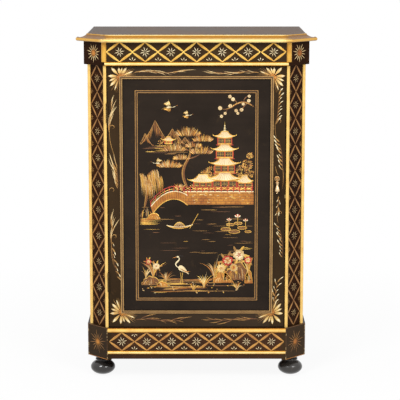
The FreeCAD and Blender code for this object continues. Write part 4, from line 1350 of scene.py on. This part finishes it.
def standing_heron(x, y, size, way, layer):
    """A heron in the shallows, neck drawn into a curve."""
    at = bird_at(x, y, size, way)
    for across, knee in ((-2, 1.5), (3, -1)):
        leg = [at(across, 26), at(across + knee, 13), at(across, 0)]
        picture.stroke(leg, 1.3 * size, "gold", layer, even)
        for toe in (-4, 1, 5):
            picture.line(at(across, 0.6), at(across + toe, -1), 2, 1.0 * size, "gold", layer, lash)
    picture.curve(at(9, 40), at(-1, 38), at(-17, 22), 8, 13 * size, "cream", layer + 1, lash)
    for i in range(6):
        root, pull, tip = at(6 - 2 * i, 37 - i), at(-4 - 2 * i, 32 - i), at(-15 - i, 22 + 1.4 * i)
        picture.curve(root, pull, tip, 5, 1.6 * size, ("spray_gold", "amber")[i % 2], layer + 4, lash)
    neck = bend(at(8, 38), at(21, 46), at(10, 54), 6) + bend(at(10, 54), at(3, 60), at(9, 65), 5)[1:]
    picture.stroke(neck, 3.4 * size, "cream", layer + 2)
    picture.line(at(7, 66), at(13, 65), 3, 4.4 * size, "cream", layer + 3)
    picture.line(at(12, 65), at(23, 62.5), 4, 1.8 * size, "amber", layer + 4, lash)
    picture.curve(at(8, 67), at(2, 69), at(-5, 66), 4, 1.2 * size, "dark", layer + 4, lash)


print("motifs", [motif.__name__ for motif in (flying_crane, standing_heron)])

# %% [markdown]
# ### Far shore and sky
# The far hills are only ridges of slanting strokes in dull colours that fade downwards into mist, which is
# how such painters show distance. Cranes cross the sky, and a flowering branch hangs in from the upper
# right corner.

# %% Paint the far shore and the sky
HILLS = [(52, 474, 44, 74), (104, 472, 40, 50), (22, 470, 22, 38), (142, 470, 24, 26)]
BLOSSOMS = [(302, 568), (296, 578), (276, 618), (286, 610), (252, 560), (262, 569), (246, 584), (318, 598)]
BLOSSOMS += [(334, 622), (336, 606), (280, 592), (312, 580)]
for x, y, half, high in HILLS:
    slopes = bend((x - half, y), (x - 0.3 * half, y + 0.5 * high), (x, y + high), 9)
    slopes += bend((x, y + high), (x + 0.35 * half, y + 0.55 * high), (x + half, y), 9)[1:]
    picture.stroke([(u, v) for u, v in slopes if u > PICTURE_LEFT], 2.4, "spray_gold", 2)
    for i in range(int(half * 1.6)):
        t = about(0.9)
        top = (x + t * half, y + high * (1 - abs(t)) ** 1.25)
        foot = (top[0] + 9 * t + about(3), top[1] - (top[1] - y) * hand.uniform(0.35, 0.75))
        pull, width = (top[0] + 2 * t, (top[1] + foot[1]) / 2), hand.uniform(1.2, 2.4)
        picture.curve(top, pull, foot, 3, width, any_of("umber spray_gold amber umber"), 0, lash)
for i in range(16):
    u, v = hand.uniform(6, 110), 470 - 1.6 * i + about(1)
    dash(u, v, (24, 64), 0.6, 5, (1.0, 2.2), "gold spray_gold umber", 0)
storey(92, 476, 11, 11, 2, 3)
roof(92, 485, 18, 13, 7)
for x in (118, 127, 74, 66, 138):
    leafy(x, 482 + about(2), 6.5, 26, 3)
    bar((x, 470), (x, 480), 2, 1.4, "umber", 2)
flying_crane(96, 586, 1.0, 1, 1)
flying_crane(150, 562, 0.72, 1, 1)
flying_crane(58, 416, 0.8, -1, 1)
trunk(bend((350, 588), (318, 616), (286, 590), 9) + bend((286, 590), (268, 576), (246, 584), 6)[1:], 6.0, 1)
boughs(2.4, 2, ((330, 601), (316, 586), (300, 566)), ((300, 598), (292, 612), (276, 620)))
boughs(2.4, 2, ((270, 580), (262, 566), (250, 558)), ((318, 606), (322, 618), (336, 624)))
for x, y in BLOSSOMS:
    blossom(x + about(2), y + about(2), hand.uniform(4.6, 6.6), "spray_pale cream amber", 3)
picture.done("picture_far", picture_face, "door")

# %% [markdown]
# ### The island
# The middle of the picture is the brightest: a walled terrace with a red balustrade, the tower, two halls,
# a crooked pine and round trees. Buildings are drawn from the back to the front, and each layer lies a
# tenth of a millimetre higher than the last, just as one coat of paint covers another.

# %% Paint the trees and the buildings
picture = Brushwork(WINDOW)
ROUND_TREES = [(330, 412, 14), (344, 384, 9), (316, 390, 18), (222, 390, 16), (206, 376, 18), (338, 440, 9)]
PINE_PADS = [(96, 404, 34, 24), (192, 446, 32, 24), (110, 454, 34, 25), (196, 484, 30, 22)]
PINE_PADS += [(150, 500, 36, 28), (130, 428, 24, 18), (168, 466, 24, 18)]
for x, y, radius in ROUND_TREES:
    leafy(x, y, radius, 120, 0)
tower(262, 336, 4, 36, 30, 3)
storey(324, 334, 22, 24, 2, 3)
roof(322, 356, 27, 24, 7)
storey(196, 334, 28, 26, 3, 3)
roof(196, 357, 42, 26, 7)
trunk(bend((158, 330), (120, 380), (148, 424), 9) + bend((148, 424), (168, 452), (150, 500), 9)[1:], 10.0, 2)
boughs(4.0, 2, ((140, 408), (118, 414), (98, 404)), ((152, 430), (176, 436), (192, 448)))
boughs(4.0, 2, ((158, 456), (132, 462), (112, 456)), ((154, 478), (176, 488), (194, 486)))
for x, y, half, high in PINE_PADS:
    needles(x, y, half, high, int(half * 4.4), 4)
for x in (118, 132, 170):
    grass(x, 332, 12, 26, 50, 3)
print("island trees", len(ROUND_TREES), "and a pine with", len(PINE_PADS), "pads")

# %% Paint the terrace
left, low, right, top = 142, 290, 350, 330
COURSE, STONE, POST_GAP = 8, 15, 18.6
picture.patch([(left, low), (right, low), (right, top), (left - 4, top)], "amber", 1)
for course in range(5):
    v = low + 2 + COURSE * course
    bar((left - 1, v), (right, v), 8, 1.2, "umber", 3)
    for i in range(14):
        u = left + 4 + STONE * i + (7 if course % 2 else 0)
        if u < right - 2 and course < 4:
            bar((u, v), (u, v + COURSE), 2, 1.0, "umber", 3)
for _ in range(46):
    u, v = hand.uniform(left + 4, right - 14), hand.uniform(low + 3, top - 3)
    dash(u, v, (5, 11), 0.8, 3, (1.8, 3.2), "gold amber spray_pale", 2)
bar((left - 6, top), (right, top), 10, 3.2, "cream", 4)
for i in range(12):
    u = left - 2 + POST_GAP * i
    if u < right:
        bar((u, top), (u, top + 17), 3, 2.6, "red", 12)
        picture.line((u - 1.8, top + 18), (u + 1.8, top + 18), 2, 2.6, "gold", 13)
for up, width in ((5, 1.4), (14, 1.9)):
    bar((left - 2, top + up), (right - 1, top + up), 10, width, "red", 11)
for i in range(11):
    u = left + 7 + POST_GAP * i
    if u + 9 < right:
        bar((u - 7, top + 5), (u + 9, top + 14), 3, 1.0, "gold", 10)
        bar((u + 9, top + 5), (u - 7, top + 14), 3, 1.0, "gold", 10)
picture.done("picture_island", picture_face, "door")

# %% [markdown]
# ### Bridge, water and near bank
# A hump bridge joins the terrace to the left bank, where a willow hangs over the water. Thin level lines of
# gold are enough for water. The near bank has rocks, reeds and large flowers, which are the largest things
# in the picture because they are nearest.

# %% Paint the bridge and the left bank
picture = Brushwork(WINDOW)
WILLOW = [((24, 352), (42, 376), (66, 378)), ((24, 366), (14, 386), (8, 386))]
WILLOW += [((25, 370), (36, 394), (52, 398))]
deck = bend((150, 318), (94, 356), (38, 284), 16)
under = bend((150, 288), (96, 336), (44, 262), 16)
rail = [(x, y + 15) for x, y in deck]
picture.patch(deck + under[::-1], "amber", 2)
for above, below in list(zip(deck, under))[1:-1]:
    bar(above, below, 3, 1.2, "umber", 3)
picture.stroke(deck, 3.0, "cream", 4, even)
picture.stroke(under, 2.2, "gold", 4, even)
picture.stroke(rail, 2.0, "red", 6, even)
picture.stroke([(x, y + 7) for x, y in deck], 1.2, "gold", 5, even)
for foot, head in list(zip(deck, rail))[::2]:
    bar(foot, (head[0], head[1] + 2.5), 3, 2.5, "red", 6)
rock(24, 250, 26, 34, 1)
rock(46, 244, 20, 18, 3, "amber")
rock(8, 246, 6, 22, 3, "amber")
trunk(bend((18, 276), (30, 330), (24, 372), 9), 8.0, 4)
for start, pull, end in WILLOW:
    branch = bend(start, pull, end, 6)
    picture.stroke(branch, 3.2, "umber", 4, lash)
    for x, y in branch[1:]:
        for _ in range(9):
            u = x + about(6)
            drop = hand.uniform(34, 74)
            root, pull = (u, y + about(3)), (u + 5 + about(4), y - 0.3 * drop)
            tip, width = (u + 6 + about(6), y - drop), hand.uniform(1.1, 1.9)
            ink = any_of("spray_gold amber gold spray_pale")
            picture.curve(root, pull, tip, 5, width, ink, 6 + hand.randrange(2), lash)
for i in range(9):
    v = 246 - 2.2 * i
    start, end = (4 + about(1), v), (30 + hand.uniform(10, 50), v)
    picture.line(start, end, 5, hand.uniform(1.4, 2.6), any_of("gold amber"), 0, lash)
print("bridge of", len(deck), "points")

# %% Paint the water and a moored boat
LILY_PADS = [(266, 214, 15), (292, 206, 17), (316, 218, 14), (280, 228, 12), (334, 206, 10), (304, 232, 12)]
PAD_POINTS, PAD_FLAT = 18, 0.32
LOTUS = [(35, "cream", 4), (60, "red", 5), (90, "cream", 5), (120, "red", 5), (145, "cream", 4)]
CABIN_MIDDLE, CABIN_FOOT = 124.5, 219
for _ in range(48):
    v = hand.uniform(128, 284)
    u = hand.uniform(8, 330)
    far = min(u + hand.uniform(14, 66), WATER_RIGHT)
    pull, end = ((u + far) / 2, v + about(1.4)), (far, v + about(0.6))
    picture.curve((u, v), pull, end, 6, hand.uniform(0.9, 1.7), any_of("spray_gold umber spray_gold gold"), 0)
hull = bend((86, 226), (122, 204), (166, 228), 12)
gunwale = bend((166, 228), (124, 214), (86, 226), 12)
cabin = bend((106, CABIN_FOOT), (124, 252), (144, CABIN_FOOT), 10)
picture.patch(hull + gunwale[1:-1], "amber", 2)
picture.stroke(gunwale, 2.2, "cream", 3, even)
picture.stroke(hull, 1.8, "gold", 3, even)
picture.patch(cabin, "umber", 2)
for share in (0.25, 0.5, 0.75):
    wide, high = share, 0.55 + 0.45 * share
    rib = [(CABIN_MIDDLE + (x - CABIN_MIDDLE) * wide, CABIN_FOOT + (y - CABIN_FOOT) * high) for x, y in cabin]
    picture.stroke(rib, 1.1, "spray_pale", 4, even)
picture.stroke(cabin, 2.0, "gold", 4, even)
bar((156, 216), (182, 262), 5, 1.6, "gold", 4)
for x, y, wide in LILY_PADS:
    turns = [2 * math.pi * i / PAD_POINTS for i in range(PAD_POINTS)]
    pad = [(x + wide * math.cos(t), y + wide * PAD_FLAT * math.sin(t)) for t in turns]
    picture.patch(pad, "umber", 1)
    for rim in pad[::2]:
        picture.line((x, y), rim, 3, 0.9, "spray_gold", 2, lash)
    picture.stroke(pad + pad[:1], 1.5, "gold", 2, even)
for x, y, size in ((276, 240, 9), (302, 250, 11), (326, 238, 9)):
    bar((x, y - 26), (x, y), 3, 1.5, "gold", 3)
    for degrees, ink, layer in LOTUS:
        picture.line((x, y), toward((x, y), degrees, size), 4, size * 0.5, ink, layer, petal)
print("water with", len(LILY_PADS), "lily pads and a boat")

# %% Paint the near bank
NEAR_ROCKS = [(300, 54, 42, 54, "umber"), (258, 46, 30, 34, "amber"), (336, 44, 14 / 1.15, 40, "amber")]
NEAR_ROCKS += [(36, 40, 26, 26, "umber"), (72, 34, 18, 16, "amber")]
REEDS = [(44, 62, 14, 66, 46), (22, 58, 10, 48, 40), (84, 48, 12, 40, 54), (200, 30, 13, 52, 58)]
REEDS += [(232, 60, 13, 74, 44), (336, 74, 12, 58, 26), (168, 22, 9, 28, 62), (300, 24, 11, 30, 60)]
FLOWERS = [
    (272, 116, 17, "red spray_pale amber"),
    (306, 134, 18, "spray_pale cream red"),
    (252, 92, 14, "burst_gold spray_pale amber"),
    (334, 118, 12, "red spray_pale gold"),
    (290, 94, 13, "spray_pale gold red"),
    (54, 98, 11, "spray_pale cream amber"),
    (30, 112, 9, "red spray_pale gold"),
]
LEAF_EDGE, LEAF_FREE = 349, 99
for x, y, half, high, ink in NEAR_ROCKS:
    rock(x, y, half, high, 2, ink)
for i in range(34):
    v = 60 - 1.3 * i + about(1.5)
    u, inks = hand.uniform(6, 190), "gold amber spray_gold umber"
    dash(u, v, (40, 130), 0.8, 6, (1.3, 3.0), inks, 0, BANK_RIGHT)
for _ in range(50):
    u, v = hand.uniform(10, 340), hand.uniform(14, 58)
    dash(u, v, (2.5, 5), 0.8, 3, (2.2, 3.8), "spray_pale gold spray_gold amber", 3)
for x, y, count, high, spread in REEDS:
    grass(x, y, count, high, spread, 5)
standing_heron(132, 46, 1.25, -1, 4)
for x, y, radius, inks in FLOWERS:
    for turn in range(6):
        angle = 60 * turn + about(18)
        reach = min(radius * 1.75, LEAF_EDGE - x if abs(angle) < 80 else LEAF_FREE)
        pull, tip = toward((x, y), angle + 14, radius), toward((x, y), angle, reach)
        picture.curve((x, y), pull, tip, 5, radius * 0.42, any_of("gold amber spray_gold"), 6, petal)
    pull, foot = (x + about(6), y - radius), (x + about(8), max(y - 2.6 * radius, 20))
    picture.curve((x, y), pull, foot, 5, 2.0, "umber", 5, even)
    blossom(x, y, radius, inks, 9)
picture.done("picture_near", picture_face, "door")

# %% [markdown]
# ## Sides and top
# The photograph doesn't show the sides, so they get only what a decorator would add cheaply: a double gold
# line round each side with a small fan in the corners, and one upright spray from the same recipe as on
# the door. Along the ends of the top runs a thin dark line.

# %% Line the sides and the top
SIDE_IN, SIDE_LOW, SIDE_HIGH, FAN_IN = 26.0, 206.0, 934.0, 8
FAN = ((8, 34), (27, 26), (45, 30), (63, 26), (82, 34))
SPRAY_FOOT, SPRAY_HEAD, SPRAY_LEAVES = SIDE_LOW + 120, SIDE_HIGH - 130, (34, 2, 0.5, 61)
TOP_IN, TOP_FRONT, TOP_BACK = 7.0, 62.0, 6.0
side_low, side_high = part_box("side_panel_right")
for sign, side in SIDES:
    face = face_of((sign * side_high.x, 0, 0), (0, sign, 0))
    left, right = sorted((sign * (1000 * side_low.y + SIDE_IN), sign * (1000 * side_high.y - SIDE_IN)))
    lines = Brushwork()
    for inset, width, ink in ((0, 5.0, "gold"), (8, 1.6, "spray_gold")):
        a, b, low, high = left + inset, right - inset, SIDE_LOW + inset, SIDE_HIGH - inset
        corners = [(a, low), (b, low), (b, high), (a, high)]
        for start, end in zip(corners, corners[1:] + corners[:1]):
            lines.line(start, end, 14, width, ink, 0, even)
    for x, way in ((left + FAN_IN, 1), (right - FAN_IN, -1)):
        for y, rise in ((SIDE_LOW + FAN_IN, 1), (SIDE_HIGH - FAN_IN, -1)):
            for degrees, length in FAN:
                angle = math.radians(degrees)
                tip = (x + way * length * math.cos(angle), y + rise * length * math.sin(angle))
                lines.line((x, y), tip, 6, 5.0, "gold", 0, petal)
                lines.line(((x + tip[0]) / 2, (y + tip[1]) / 2), tip, 4, 2.8, "cream", 2, petal)
    middle = (left + right) / 2
    route = wavy((middle, SPRAY_FOOT), (middle, SPRAY_HEAD), 16.0, 1.5)
    lines.stroke(route, 2.4, "umber")
    lines.done("side_lines_" + side, face, "case")
    lay_spray("side_spray_%s_" + side, "long", route, face, "case", *SPRAY_LEAVES)
for parts in BLADES.values():
    for part, holder, ink in parts:
        bpy.data.objects.remove(holder)

top_line = Brushwork()
top_low, top_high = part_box("top_board")
for sign in (-1, 1):
    edge = sign * (1000 * top_high.x - TOP_IN)
    start, end = (edge, 1000 * top_low.y + TOP_FRONT), (edge, 1000 * top_high.y - TOP_BACK)
    top_line.line(start, end, 10, 2.4, "dark", 0, even)
top_line.done("top_lines", face_of((0, 0, top_high.z), up=(0, 1, 0)), "case")
